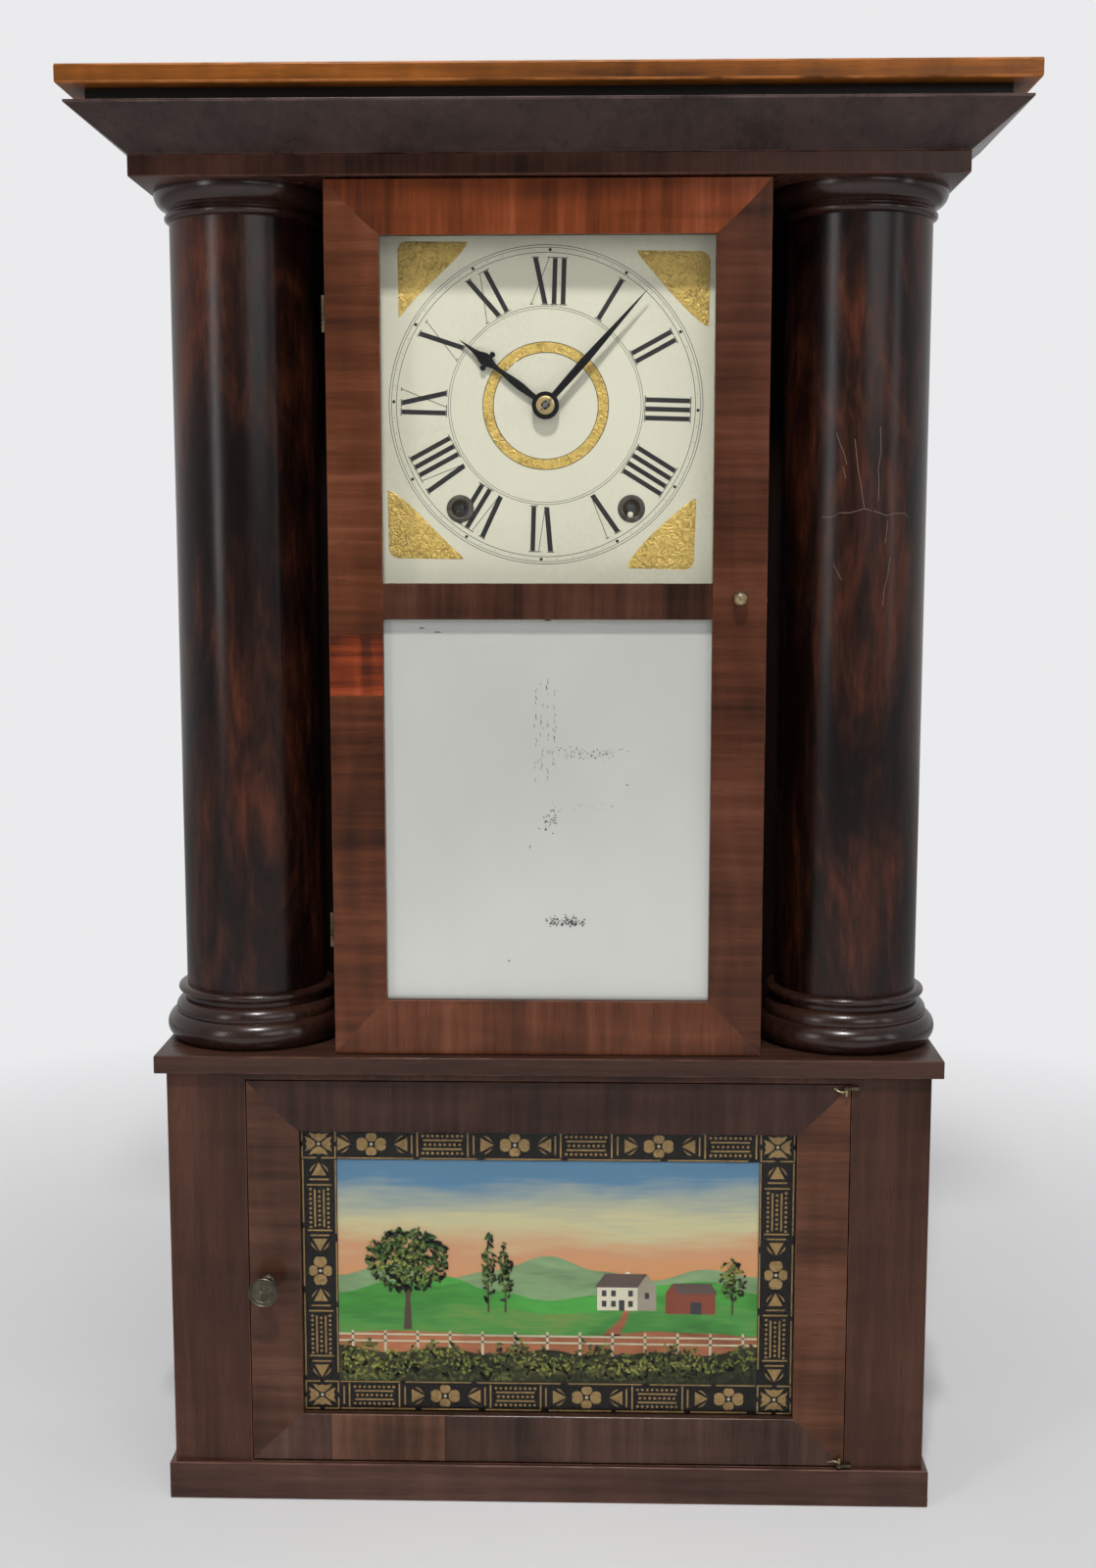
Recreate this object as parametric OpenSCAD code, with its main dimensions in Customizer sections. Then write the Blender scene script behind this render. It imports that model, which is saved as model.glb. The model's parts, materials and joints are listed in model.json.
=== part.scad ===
// Hollow column shelf clock: a veneered case with two hollow columns in which the weights fall,
// an upper door with dial glass and mirror, a lower door with a glass tablet, and a one-day
// weight-driven striking movement with lantern pinions.
// +X is to the right, -Y is the front, +Z is up, and the origin is under the middle of the case.

/* [Case] */
// Height of the whole clock
overall_h = 890; // [780:1:1070]
// Distance from a column's axis to the frieze board's end
frieze_end = 56.8; // [50:0.2:66]
// Depth of the plinth board from the back
case_d = 128; // [126:1:160]
// How far the plinth board stands in front of the frieze board
plinth_lip = 3.5; // [0:0.5:8]
// Thickness of the cap board
cap_t = 11; // [8:0.5:16]
// How far the cap board overhangs the frieze board
cap_over = 33; // [31:1:40]
// Height of the recessed strip under the cap board
cap_gap = 8; // [5:0.5:12]
// How far the recessed strip sits behind the cap board's edge
cap_recess = 14; // [10:1:24]
// Height of the bevelled cornice
cornice_h = 25; // [20:1:34]
// How far the cornice leans out
cornice_over = 29.5; // [20:0.5:30]
// Thickness of the frieze board
frieze_t = 13; // [12:0.5:18]
// Thickness of the plinth board
plinth_t = 11.5; // [8:0.5:18]
// Height of the lower case under the plinth board
base_h = 284.5; // [240:0.5:340]
// How far the lower case's sides stand in from the frieze board's ends
base_in = 8.5; // [4:0.5:14]
// Thickness of the lower case's boards
base_board = 14; // [10:0.5:18]
// Height of the base moulding
skirt_h = 24.5; // [18:0.5:32]
// Thickness of the base moulding
skirt_t = 3.5; // [2:0.5:6]
// How far the trunk's sides sit in from the upper door's edges
trunk_set = 3; // [2:0.5:5]
// Thickness of the trunk's sides
trunk_wall = 11; // [9:0.5:13]
// Thickness of the back boards
back_t = 8; // [5:0.5:9]
// How far the trunk's back board laps past its sides, behind the columns
back_lap = 32; // [0:1:34]

/* [Columns] */
// Gap between a column's torus and the trunk's side
column_clear = 3.7; // [1:0.1:8]
// Radius of the column shaft
column_r = 45.5; // [38:0.5:54]
// Wall of the hollow column round the bore in which the weight falls
column_wall = 7.5; // [5:0.5:10]
// How far the torus at the column's foot stands out from the shaft
torus_out = 13; // [12.5:0.5:15]
// Least distance of the torus behind the plinth's edge
torus_set = 7; // [4:0.5:9]
// Height of the column's turned foot
foot_h = 35.5; // [30:0.5:42]
// Height of the turned capital
capital_h = 19; // [16:0.5:24]
// How far the capital's top stands out from the shaft
capital_out = 9.3; // [6:0.1:11]

/* [Upper door] */
// Width of the upper door
door_w = 268; // [262:1:322]
// Thickness of both doors
door_t = 14; // [13:0.5:17]
// How far the upper door sits behind the plinth's edge
door_set = 8; // [7:0.5:10]
// Width of the stiles
stile_w = 33; // [28:0.5:38]
// Height of the top rail
top_rail = 32.5; // [26:0.5:40]
// Height of the dial's glass opening
dial_opening_h = 207.5; // [200:0.5:212]
// Height of the middle rail
mid_rail = 22; // [18:0.5:28]
// Height of the bottom rail
bottom_rail = 34.5; // [28:0.5:44]
// Thickness of the panes
glass_t = 2; // [1.5:0.1:3]
// Depth from a door's front to its glass rebate
lip_t = 6; // [4:0.5:7]
// Width of the glass rebate
rebate = 4; // [3:0.5:6]
// Thickness of the board behind the mirror
mirror_back_t = 4; // [2:0.5:4]
// Radius of the butt hinge's knuckle
knuckle_r = 1.9; // [1.6:0.1:2]
// Height of a butt hinge
butt_h = 22; // [18:1:30]
// Distance of each butt hinge from the nearer end of the door
butt_end = 66; // [50:1:110]
// Radius of the upper knob's ball
ball_r = 4.8; // [4:0.1:6]

/* [Lower door] */
// Width of the case's stile on each side of the lower door
front_stile_w = 49.9; // [40:0.1:60]
// Height of the rail above the lower door
front_rail = 5; // [4:0.5:30]
// Play at each side of the lower door
lower_play = 0.6; // [0.5:0.1:1]
// Play above the lower door
lower_top_play = 0.8; // [0.5:0.1:1.5]
// Play under the lower door
lower_foot_play = 1.2; // [0.8:0.1:2]
// Width of the lower door's frame pieces
lower_frame = 33; // [26:0.5:40]
// How much narrower the lower door's bottom rail is
lower_rail_less = 2; // [0:0.5:6]
// Distance of the lower knob from the door's edge
knob_inset = 11.5; // [7:0.5:14]
// Radius of the lower knob's disc
disc_r = 9.5; // [7:0.5:12]
// Height of the lower knob above the door's lower edge
knob_rise = 120; // [60:1:180]
// How far the lower knob stands out from the door
knob_out = 18; // [12:0.5:22]
// Radius of the hinge wire
wire_r = 1.0; // [0.8:0.1:1.2]

/* [Dial and hands] */
// How far the dial's centre sits to one side
centre_x = -1.5; // [-3:0.5:3]
// How far the dial's centre sits above the middle of its opening
centre_rise = 4.5; // [-4:0.25:6]
// How far the dial's face sits behind the door's front
dial_set = 22; // [21:0.5:26]
// Thickness of the dial board
dial_t = 6; // [4:0.5:7]
// Sideways distance from the centre to a winding arbor
wind_x = 53; // [50:0.5:56]
// Drop from the centre to a winding arbor
wind_drop = 62.5; // [58:0.5:66]
// Radius of the winding holes' grommets
grommet_r = 8.5; // [7:0.5:10]
// Length of the minute hand
minute_len = 93; // [80:1:98]
// Length of the hour hand
hour_len = 66; // [50:1:74]
// Minutes past the hour that the hands show
show_minute = 7; // [0:1:59]
// Hour that the hands show
show_hour = 10; // [0:1:11]
// Degrees by which the hour hand stands ahead of its true place
hour_ahead = 3.5; // [-6:0.5:6]

/* [Movement] */
// Thickness of the movement's plates
plate_t = 1.5; // [1.2:0.1:2]
// Space between the plates
plate_gap = 30.5; // [30:0.5:36]
// Least space for the motion work between the dial board and the front plate
motion_space = 12.75; // [12.75:0.25:16]
// Space between the plates' edges and the trunk's sides
plate_side = 20; // [12:1:22]
// Radius of the cord drums
drum_r = 18.9; // [16:0.1:22.6]
// Radius of the train arbors
arbor_r = 1.5; // [1.3:0.1:1.8]
// Radius of the pivots in the plates
pivot_r = 1.0; // [0.8:0.05:1.1]
// Teeth of the great wheels
great_n = 84; // [78:2:90]
// Teeth of the second wheels
second_n = 72; // [66:2:78]
// Teeth of the third wheel
third_n = 66; // [60:2:72]
// Bars of each lantern pinion
lantern_n = 8; // [8:1:10]
// Module of the second wheel's teeth
second_m = 0.75; // [0.7:0.01:0.78]
// Module of the third wheel's teeth
third_m = 0.65; // [0.6:0.01:0.68]
// Thickness of the brass wheels
wheel_t = 1.4; // [1:0.1:1.8]
// Tip radius of the escape wheel
escape_r = 15; // [13:0.5:16]
// Teeth of the escape wheel
escape_n = 42; // [36:2:48]
// Height of the bob's middle above the plinth board
bob_rise = 107; // [60:1:160]
// Radius of the bob
bob_r = 25; // [20:0.5:32]

/* [Weights and cords] */
// Space between a weight and the wall of its column
weight_clear = 6; // [4:0.5:12]
// Height of the weights
weight_h = 140; // [110:1:160]
// Radius of the cords
cord_r = 1.0; // [0.7:0.1:1.1]
// Radius of the pulleys' rims
pulley_r = 11.5; // [10:0.5:11.5]
// Radius of the bottom of the pulleys' grooves
groove_r = 8.6; // [7.5:0.1:8.8]
// Width of the pulleys
pulley_w = 6; // [5:0.5:7]

/* [Clearances] */
// Running clearance of a shaft in its hole
run = 0.05; // [0.02:0.01:0.1]
// Gap between pieces that pass each other
gap = 0.4; // [0.3:0.05:0.8]
// Gap around panes in their rebates
pane_gap = 0.3; // [0.2:0.05:0.5]

/* [Hidden] */
$fn = 96;

// Widths
trunk_w = door_w - 2 * trunk_set;
torus_r = column_r + torus_out;
column_x = trunk_w / 2 + column_clear + torus_r;
column_bore_r = column_r - column_wall;
case_w = 2 * (column_x + frieze_end);
base_w = case_w - 2 * base_in;
lower_w = base_w - 2 * (front_stile_w + lower_play);
plinth_in = 2;
opening_hw = door_w / 2 - stile_w;
trunk_in = trunk_w / 2 - trunk_wall;
plate_hw = trunk_in - plate_side;
lower_hw = lower_w / 2;
front_stile_x = lower_hw + lower_play;

// Depths, counted along Y
overall_d = case_d - plinth_lip + cap_over;
back_y = overall_d / 2;
plinth_y = back_y - case_d;
frieze_y = plinth_y + plinth_lip;
cap_y = -overall_d / 2;
base_set = 6;
base_y = plinth_y + base_set;
front_y = base_y + base_board + 1;
door_y = plinth_y + door_set;
door_back_y = door_y + door_t;
trunk_y = door_back_y + gap;
hinge_y = door_back_y + gap / 2;
inner_back_y = back_y - back_t;
dial_y = door_y + dial_set;
dial_back_y = dial_y + dial_t;
column_y = max(plinth_y + torus_set + torus_r,
  dial_back_y + motion_space + plate_t + plate_gap / 2);
plate_in = column_y - plate_gap / 2;
plate_out = column_y + plate_gap / 2;
plate_front = plate_in - plate_t;
plate_back = plate_out + plate_t;

// Heights
door_foot_play = 0.5;
door_top_play = 1;
plinth_z = base_h + plinth_t;
frieze_z = overall_h - cap_t - cap_gap - cornice_h - frieze_t;
board_z = frieze_z + frieze_t;
cap_z = overall_h - cap_t;
foot_z = plinth_z + foot_h;
capital_z = frieze_z - capital_h;
door_z = plinth_z + door_foot_play;
door_top = frieze_z - door_top_play;
dial_open_top = door_top - top_rail;
dial_open_z = dial_open_top - dial_opening_h;
mirror_open_top = dial_open_z - mid_rail;
mirror_open_z = door_z + bottom_rail;
lower_z = skirt_h + lower_foot_play;
lower_top = base_h - front_rail - lower_top_play;
lower_open_z = lower_z + lower_frame - lower_rail_less;
lower_open_top = lower_top - lower_frame;

// Train positions as [x, z]
centre_z = (dial_open_z + dial_open_top) / 2 + centre_rise;
centre = [centre_x, centre_z];
time_arbor = [centre_x + wind_x, centre_z - wind_drop];
strike_arbor = [centre_x - wind_x, centre_z - wind_drop];
motion_m = 1.0;
motion_n = 40;
hour_n = 96;
hour_pinion_n = 8;
// Half widths of a tooth at its foot, pitch circle and tip, in pitches
tooth_foot = 0.25;
tooth_mid = 0.175;
tooth_tip = 0.08;
// Height of a tooth inside and outside its pitch circle, in modules
tooth_in = 1.15;
tooth_out = 0.75;
motion_d = motion_m * motion_n;
great_d = norm(time_arbor - centre) - motion_d + 0.2;
great_m = great_d * 2 / (great_n + lantern_n);
second_d = second_m * (second_n + lantern_n) / 2;
third_d = third_m * (third_n + lantern_n) / 2;
hour_m = motion_d * 2 / (hour_n + hour_pinion_n);
second_p = meet(time_arbor, great_d, centre, motion_d, 1);
escape_rise = 14.5;
escape_p = centre + [0, escape_rise];
third_p = meet(second_p, second_d, escape_p, third_d, -1);
verge_drop = 24;
verge_p = escape_p + [0, verge_drop];
pin_way = 98;
pin_p = strike_arbor + polar(great_d, pin_way);
fly_way = 80;
fly_p = pin_p + polar(second_d, fly_way);
hammer_p = pin_p + [-34, 13];

// Seat board under the movement
great_r = (great_n / 2 + 0.8) * great_m;
seat_clear = 3.7;
seat_z = time_arbor[1] - great_r - seat_clear;
seat_t = 10;

// Layers between the plates, counted from the front plate
great_y = plate_in + 4;
ratchet_y = great_y + wheel_t + gap;
drum_y = ratchet_y + 1.6;
drum_len = 2 * (column_y - drum_y);
pin_y = drum_y + drum_len + gap;
second_y = pin_y + 2.2;
third_y = plate_in + 15;
escape_y = plate_in + 8;
flange_t = 1.2;
flange_out = 3;
drum_arbor_r = 2.5;
stud_r = 1.5;

// Cord runs
wrap_r = drum_r + gap / 2 + cord_r;
rope_r = groove_r + gap / 2 + cord_r;
axle_r = 1.1;
axle_half = pulley_w / 2 + 6.5;
slot_clear = 1.2;
pulley_z = board_z - axle_r;
time_rise_x = time_arbor[0] + wrap_r;
strike_rise_x = strike_arbor[0] - wrap_r;
time_inner_x = time_rise_x + rope_r;
strike_inner_x = strike_rise_x - rope_r;
outer_x = column_x - rope_r;
weight_r = column_bore_r - weight_clear;
weight_z = plinth_z;
hook_r = 4.5;
hook_wire = 1.5;
neck_h = 8;
hook_z = weight_z + weight_h + neck_h + hook_r;

// Pendulum, gong and hammer
pend_y = plate_back + 15;
rod_r = 0.9;
bob_t = 12;
gong_wire = 1.4;
gong_step = 8;
gong_turns = 6;
gong_r0 = 20;
gong_p = [centre_x - 13, (plinth_z + seat_z - seat_t) / 2];
gong_y = inner_back_y - 12;
gong_left = gong_p[0] - gong_r0 - gong_step * (gong_turns - 2) / 2 - gong_wire;
hammer_gap = 1.5;
head_len = 14;
head_r = 6;
head_p = [gong_left - hammer_gap - head_len / 2, gong_p[1]];
hammer_lift = 8;

// Where two circles meet, on the chosen side of the line between their centres
function meet(p, rp, q, rq, side) =
  let (d = norm(q - p), a = (rp * rp - rq * rq + d * d) / (2 * d),
    h = sqrt(rp * rp - a * a), u = (q - p) / d)
  p + a * u + side * h * [-u[1], u[0]];

// Direction of one arbor seen from another, in degrees
function way(p, q) = atan2(q[1] - p[1], q[0] - p[0]);

function polar(r, a) = [r * cos(a), r * sin(a)];

// Points of an arc about a centre, both ends included
function arc(c, r, a0, a1, n) = [for (i = [0:n]) c + polar(r, a0 + (a1 - a0) * i / n)];

// Outline of a wheel with n thinned teeth, one of them at the phase angle
function tooth_ring(n, m, phase) = let (r = n * m / 2, s = 360 / n)
  [for (i = [0:n - 1]) each let (a = phase + i * s)
    [polar(r - tooth_in * m, a - tooth_foot * s), polar(r, a - tooth_mid * s),
     polar(r + tooth_out * m, a - tooth_tip * s), polar(r + tooth_out * m, a + tooth_tip * s),
     polar(r, a + tooth_mid * s), polar(r - tooth_in * m, a + tooth_foot * s)]];

// Outline of a saw-toothed wheel
function saw_ring(n, tip, root, phase) = let (s = 360 / n)
  [for (i = [0:n - 1]) each let (a = phase + i * s)
    [polar(root, a), polar(tip, a + 0.12 * s), polar(tip, a + 0.3 * s)]];

// Upright plate shape from an outline in [x, z], from y0 to y1
module upright(y0, y1) {
  translate([0, y1, 0]) rotate([90, 0, 0]) linear_extrude(height = y1 - y0) children();
}

// Rod along Y at p = [x, z]
module rod_y(p, r, y0, y1) {
  translate([p[0], y1, p[1]]) rotate([90, 0, 0]) cylinder(r = r, h = y1 - y0);
}

// Board from its low corner to its high corner
module board(lo, hi) {
  translate(lo) cube(hi - lo);
}

module both_sides() {
  children();
  mirror([1, 0, 0]) children();
}

module at_columns() {
  for (s = [-1, 1]) translate([s * column_x, column_y, 0]) children();
}

// Arbor with its two pivots in the plates
module arbor(p) {
  rod_y(p, arbor_r, plate_in + gap, plate_out - gap);
  rod_y(p, pivot_r, plate_front - 0.3, plate_back + 0.3);
}

// Brass wheel with crossings
module spoked_wheel(p, n, m, phase, y, arms) {
  r_in = n * m / 2 - 3.4 * m;
  hub = arbor_r + 3;
  difference() {
    upright(y, y + wheel_t) translate(p) polygon(tooth_ring(n, m, phase));
    difference() {
      rod_y(p, r_in, y - 1, y + wheel_t + 1);
      rod_y(p, hub, y - 2, y + wheel_t + 2);
      for (k = [0:arms - 1])
        upright(y - 2, y + wheel_t + 2)
          translate(p) rotate(phase + k * 360 / arms) translate([0, -1.2]) square([r_in + 2, 2.4]);
    }
  }
}

// Lantern pinion: two shrouds and a ring of bars, with a space between two bars facing the wheel
module lantern(p, m, toward, y, len) {
  r = lantern_n * m / 2;
  rod_y(p, r + 0.8 * m, y - 1, y);
  rod_y(p, r + 0.8 * m, y + len, y + len + 1);
  for (k = [0:lantern_n - 1])
    rod_y(p + polar(r, toward + (k + 0.5) * 360 / lantern_n), 0.36 * m, y - 0.5, y + len + 0.5);
}

module lantern_for(p, m, toward, y) {
  lantern(p, m, toward, y - 1, wheel_t + 2);
}

// Groove or slot cut for a pulley
module pulley_slot(x) {
  hw = pulley_r + slot_clear;
  board([x - hw, column_y - pulley_w / 2 - 1, frieze_z - 1],
    [x + hw, column_y + pulley_w / 2 + 1, board_z + 1]);
  rod_y([x, pulley_z], axle_r, column_y - axle_half, column_y + axle_half);
  board([x - axle_r, column_y - axle_half, pulley_z], [x + axle_r, column_y + axle_half, board_z + 1]);
}

module cap_board() {
  color([0.55, 0.3, 0.14])
    board([-case_w / 2 - cap_over, cap_y, cap_z], [case_w / 2 + cap_over, back_y, overall_h]);
}

// Strips between the cornice and the cap board
module cap_cleats() {
  hw = case_w / 2 + cap_over - cap_recess;
  y0 = cap_y + cap_recess;
  strip = 22;
  color([0.1, 0.07, 0.05]) {
    board([-hw, y0, cap_z - cap_gap], [hw, y0 + strip, cap_z]);
    both_sides() board([hw - strip, y0 + strip, cap_z - cap_gap], [hw, back_y, cap_z]);
  }
}

// Bevelled moulding's section as [out, up]
cornice_t = 12;
function cornice_section() = [[-cornice_t, 0], [0, 0], [cornice_over, cornice_h - 1.5],
  [cornice_over, cornice_h], [-cornice_t, cornice_h]];

module cornice() {
  hw = case_w / 2;
  reach = hw + cornice_over + 1;
  color([0.16, 0.1, 0.08]) {
    difference() {
      translate([-reach, frieze_y, board_z]) rotate([90, 0, 90])
        linear_extrude(height = 2 * reach)
          polygon([for (q = cornice_section()) [-q[0], q[1]]]);
      both_sides() translate([hw, frieze_y, board_z - 1]) linear_extrude(height = cornice_h + 2)
        polygon([[-14, 14], [cornice_over + 5, -cornice_over - 5], [cornice_over + 5, 14]]);
    }
    both_sides() difference() {
      translate([hw, back_y, board_z]) rotate([90, 0, 0])
        linear_extrude(height = back_y - frieze_y + cornice_over + 1)
          polygon(cornice_section());
      translate([hw, frieze_y, board_z - 1]) linear_extrude(height = cornice_h + 2)
        polygon([[-14, 14], [-14, -cornice_over - 5], [cornice_over + 5, -cornice_over - 5]]);
    }
  }
}

module frieze_board() {
  color([0.3, 0.14, 0.09]) difference() {
    board([-case_w / 2, frieze_y, frieze_z], [case_w / 2, back_y, board_z]);
    for (x = [time_inner_x, outer_x, strike_inner_x, -outer_x]) pulley_slot(x);
  }
}

module capitals() {
  top = column_r + capital_out;
  color([0.24, 0.12, 0.08]) at_columns() translate([0, 0, capital_z]) rotate_extrude()
    polygon(concat([[column_bore_r, 0], [column_r + 0.4, 0]],
      arc([column_r + 0.6, 3.2], 2.4, -70, 80, 8),
      [[column_r + 1, 6.4], [column_r + 1.6, 6.8]],
      arc([column_r - 1.2, capital_h - 1], capital_out + 1.2, -68, 0, 9),
      [[top, capital_h], [column_bore_r, capital_h]]));
}

module columns() {
  color([0.22, 0.09, 0.06]) at_columns() difference() {
    translate([0, 0, foot_z]) cylinder(r = column_r, h = capital_z - foot_z);
    translate([0, 0, foot_z - 1]) cylinder(r = column_bore_r, h = capital_z - foot_z + 2);
  }
}

// Turned foot: torus, upper bead and a flared ring round the shaft
module column_feet() {
  t = 10;
  color([0.26, 0.13, 0.08]) at_columns() translate([0, 0, plinth_z]) rotate_extrude()
    polygon(concat([[column_bore_r, 0]],
      arc([torus_r - t, t - 1], t, -64, 58, 12),
      arc([torus_r - 13.4, t + 9.2], 7.7, -12, 76, 8),
      [[torus_r - 11.6, foot_h - 6.6]],
      arc([torus_r - 10, foot_h - 2.8], 2.6, -68, 62, 7),
      [[column_r + 1, foot_h], [column_bore_r, foot_h]]));
}

// Trunk sides, cut for the butt hinges on the left and for the turning catch on the right
module trunk_sides() {
  color([0.33, 0.16, 0.1]) {
    difference() {
      board([-trunk_w / 2, trunk_y, plinth_z], [-trunk_in, inner_back_y, frieze_z]);
      for (z = butt_z)
        board([-trunk_w / 2 - 1, trunk_y - 1, z], [1 - trunk_in, trunk_y + leaf_t, z + butt_h]);
    }
    difference() {
      board([trunk_in, trunk_y, plinth_z], [trunk_w / 2, inner_back_y, frieze_z]);
      board([trunk_in - 1, catch_y - gap, knob_z - catch_reach - 1],
        [knob_x + catch_reach + 1, catch_y + catch_t + gap, knob_z + catch_w]);
    }
  }
}

module back_boards() {
  color([0.42, 0.28, 0.17]) {
    board([-trunk_w / 2 - back_lap, inner_back_y, plinth_z], [trunk_w / 2 + back_lap, back_y, frieze_z]);
    board([-base_w / 2, inner_back_y, 0], [base_w / 2, back_y, base_h]);
    board([cornice_t - case_w / 2, inner_back_y, board_z], [case_w / 2 - cornice_t, back_y, cap_z]);
  }
}

module plinth_board() {
  color([0.27, 0.14, 0.09])
    board([plinth_in - case_w / 2, plinth_y, base_h], [case_w / 2 - plinth_in, back_y, plinth_z]);
}

// Two sides and the bottom board of the lower case
module base_carcass() {
  side_x = base_w / 2 - base_board;
  floor_t = 12;
  color([0.34, 0.2, 0.12]) {
    both_sides() board([side_x, front_y, 0], [base_w / 2, inner_back_y, base_h]);
    board([-side_x, front_y, skirt_h - floor_t], [side_x, inner_back_y, skirt_h]);
  }
}

// Two front stiles with a rail above and below the lower door
module base_front() {
  color([0.28, 0.14, 0.1]) {
    both_sides() board([front_stile_x, base_y, 0], [base_w / 2, front_y, base_h]);
    board([-front_stile_x, base_y, base_h - front_rail], [front_stile_x, front_y, base_h]);
    board([-front_stile_x, base_y, 0], [front_stile_x, front_y, skirt_h]);
  }
}

module base_skirt() {
  hw = base_w / 2;
  color([0.22, 0.12, 0.08]) {
    board([-hw - skirt_t, base_y - skirt_t, 0], [hw + skirt_t, base_y, skirt_h]);
    both_sides() board([hw, base_y, 0], [hw + skirt_t, back_y, skirt_h]);
  }
}

module dial_board() {
  hw = trunk_in - 1.5;
  margin = 9;
  hand_hole_r = hour_out + 1.3;
  color([0.9, 0.86, 0.76]) difference() {
    board([-hw, dial_y, dial_open_z - margin], [hw, dial_back_y, dial_open_top + margin]);
    rod_y(centre, hand_hole_r, dial_y - 1, dial_back_y + 1);
    for (p = [time_arbor, strike_arbor]) rod_y(p, grommet_r - 2, dial_y - 1, dial_back_y + 1);
  }
}

module dial_grommets() {
  color([0.35, 0.27, 0.16]) for (p = [time_arbor, strike_arbor]) difference() {
    union() {
      rod_y(p, grommet_r, dial_y - 0.8, dial_y);
      rod_y(p, grommet_r - 2, dial_y, dial_back_y);
    }
    rod_y(p, grommet_r - 3, dial_y - 2, dial_back_y + 1);
  }
}

// Battens behind the dial, and the seat board on its two cleats under the movement
module inner_framing() {
  batten = 10;
  cleat_h = 14;
  under = seat_z - seat_t;
  rod_slot = 18;
  wire_x = hammer_p[0] + (head_p[0] - hammer_p[0]) * (hammer_p[1] - seat_z) / (hammer_p[1] - head_p[1]);
  color([0.45, 0.31, 0.19]) {
    both_sides() {
      board([trunk_in - batten, dial_back_y, seat_z], [trunk_in, dial_back_y + batten, frieze_z]);
      board([trunk_in - batten, dial_back_y, under - cleat_h], [trunk_in, inner_back_y, under]);
    }
    difference() {
      board([-trunk_in, dial_back_y + batten, under], [trunk_in, inner_back_y, seat_z]);
      board([centre_x - rod_slot, pend_y - bob_t, under - 1],
        [centre_x + rod_slot, inner_back_y + 1, seat_z + 1]);
      board([wire_x - 2.5 * hammer_lift, gong_y - 5, under - 1],
        [wire_x + 5, inner_back_y + 1, seat_z + 1]);
    }
  }
}

plate_rise = 22;
pillar_in = 5;

// Plate outline with the seat at its foot
module plate(y0, y1) {
  difference() {
    board([centre_x - plate_hw, y0, seat_z], [centre_x + plate_hw, y1, verge_p[1] + plate_rise]);
    children();
  }
}

pillar_points = [for (x = [-1, 1], z = [seat_z + pillar_in + 2, verge_p[1] + plate_rise - pillar_in - 3])
  [centre_x + x * (plate_hw - pillar_in), z]];

module pivot_holes(y0, y1) {
  for (p = [second_p, third_p, escape_p, verge_p, pin_p, fly_p, hammer_p])
    rod_y(p, pivot_r + run, y0 - 1, y1 + 1);
  for (p = pillar_points) rod_y(p, 1.6, y0 - 1, y1 + 1);
}

module front_plate() {
  color([0.78, 0.62, 0.3]) plate(plate_front, plate_in) {
    pivot_holes(plate_front, plate_in);
    for (p = [time_arbor, strike_arbor]) rod_y(p, drum_arbor_r + run, plate_front - 1, plate_in + 1);
    rod_y(centre, stud_r, plate_front - 1, plate_in + 1);
  }
}

module back_plate() {
  color([0.76, 0.6, 0.29]) plate(plate_out, plate_back) {
    pivot_holes(plate_out, plate_back);
    for (p = [time_arbor, strike_arbor]) rod_y(p, pivot_r + run, plate_out - 1, plate_back + 1);
  }
}

// Four corner pillars and the stud that the hands turn on
module plate_pillars() {
  color([0.74, 0.58, 0.28]) {
    for (p = pillar_points) {
      rod_y(p, 3, plate_in, plate_out);
      rod_y(p, 1.6, plate_front - 1, plate_in);
      rod_y(p, 1.6, plate_out, plate_back + 1);
    }
    rod_y(centre, stud_r, minute_y - hand_t - 1.2, plate_in);
    rod_y(centre, 2 * stud_r, plate_in, plate_in + 2);
  }
}

// Bracket behind the back plate, with two ears that hold the pendulum's pin
module pendulum_cock() {
  p = verge_p;
  ear = 2;
  color([0.7, 0.55, 0.27]) difference() {
    union() {
      board([p[0] - 7, plate_back, p[1] + 8], [p[0] + 7, plate_back + 2, p[1] + 20]);
      board([p[0] - 4, plate_back, p[1] + 6], [p[0] + 4, pend_y + 2.2 + ear, p[1] + 9]);
      for (y = [pend_y - 2.2 - ear, pend_y + 2.2])
        board([p[0] - 4, y, p[1] - 4], [p[0] + 4, y + ear, p[1] + 9]);
    }
    rod_y(p, 1.2 + run, pend_y - 8, pend_y + 8);
  }
}

module gong_base() {
  color([0.2, 0.2, 0.2]) difference() {
    union() {
      rod_y(gong_p, 15, inner_back_y - 4, inner_back_y);
      rod_y(gong_p, 7, gong_y - 4, inner_back_y - 4);
    }
    rod_y(gong_p + [-gong_r0 + 14, 0], 0.5, gong_y - 5, gong_y - 4);
  }
}

// Flat spiral of half turns whose centres step from side to side
module gong() {
  color([0.3, 0.32, 0.38]) {
    for (k = [0:gong_turns - 1]) {
      r = gong_r0 + k * gong_step / 2;
      side = k % 2 == 0 ? 0 : 1;
      translate([gong_p[0] + side * gong_step / 2, gong_y, gong_p[1]])
        rotate([90, side * 180, 0]) rotate_extrude(angle = 180)
          translate([r, 0]) circle(r = gong_wire, $fn = 24);
    }
    translate([gong_p[0] + 7, gong_y, gong_p[1]]) rotate([0, 90, 0])
      cylinder(r = gong_wire, h = gong_r0 - 7, $fn = 24);
  }
}

module pulley_axles() {
  color([0.35, 0.35, 0.36]) for (x = [time_inner_x, outer_x, strike_inner_x, -outer_x])
    rod_y([x, pulley_z], axle_r, column_y - axle_half, column_y + axle_half);
}

butt_z = [door_z + butt_end, door_top - butt_end - butt_h];
hinge_x = -door_w / 2 - knuckle_r - 0.5;
leaf_t = 1;
leaf_w = 11;
pin_hole = 0.8;

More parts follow.
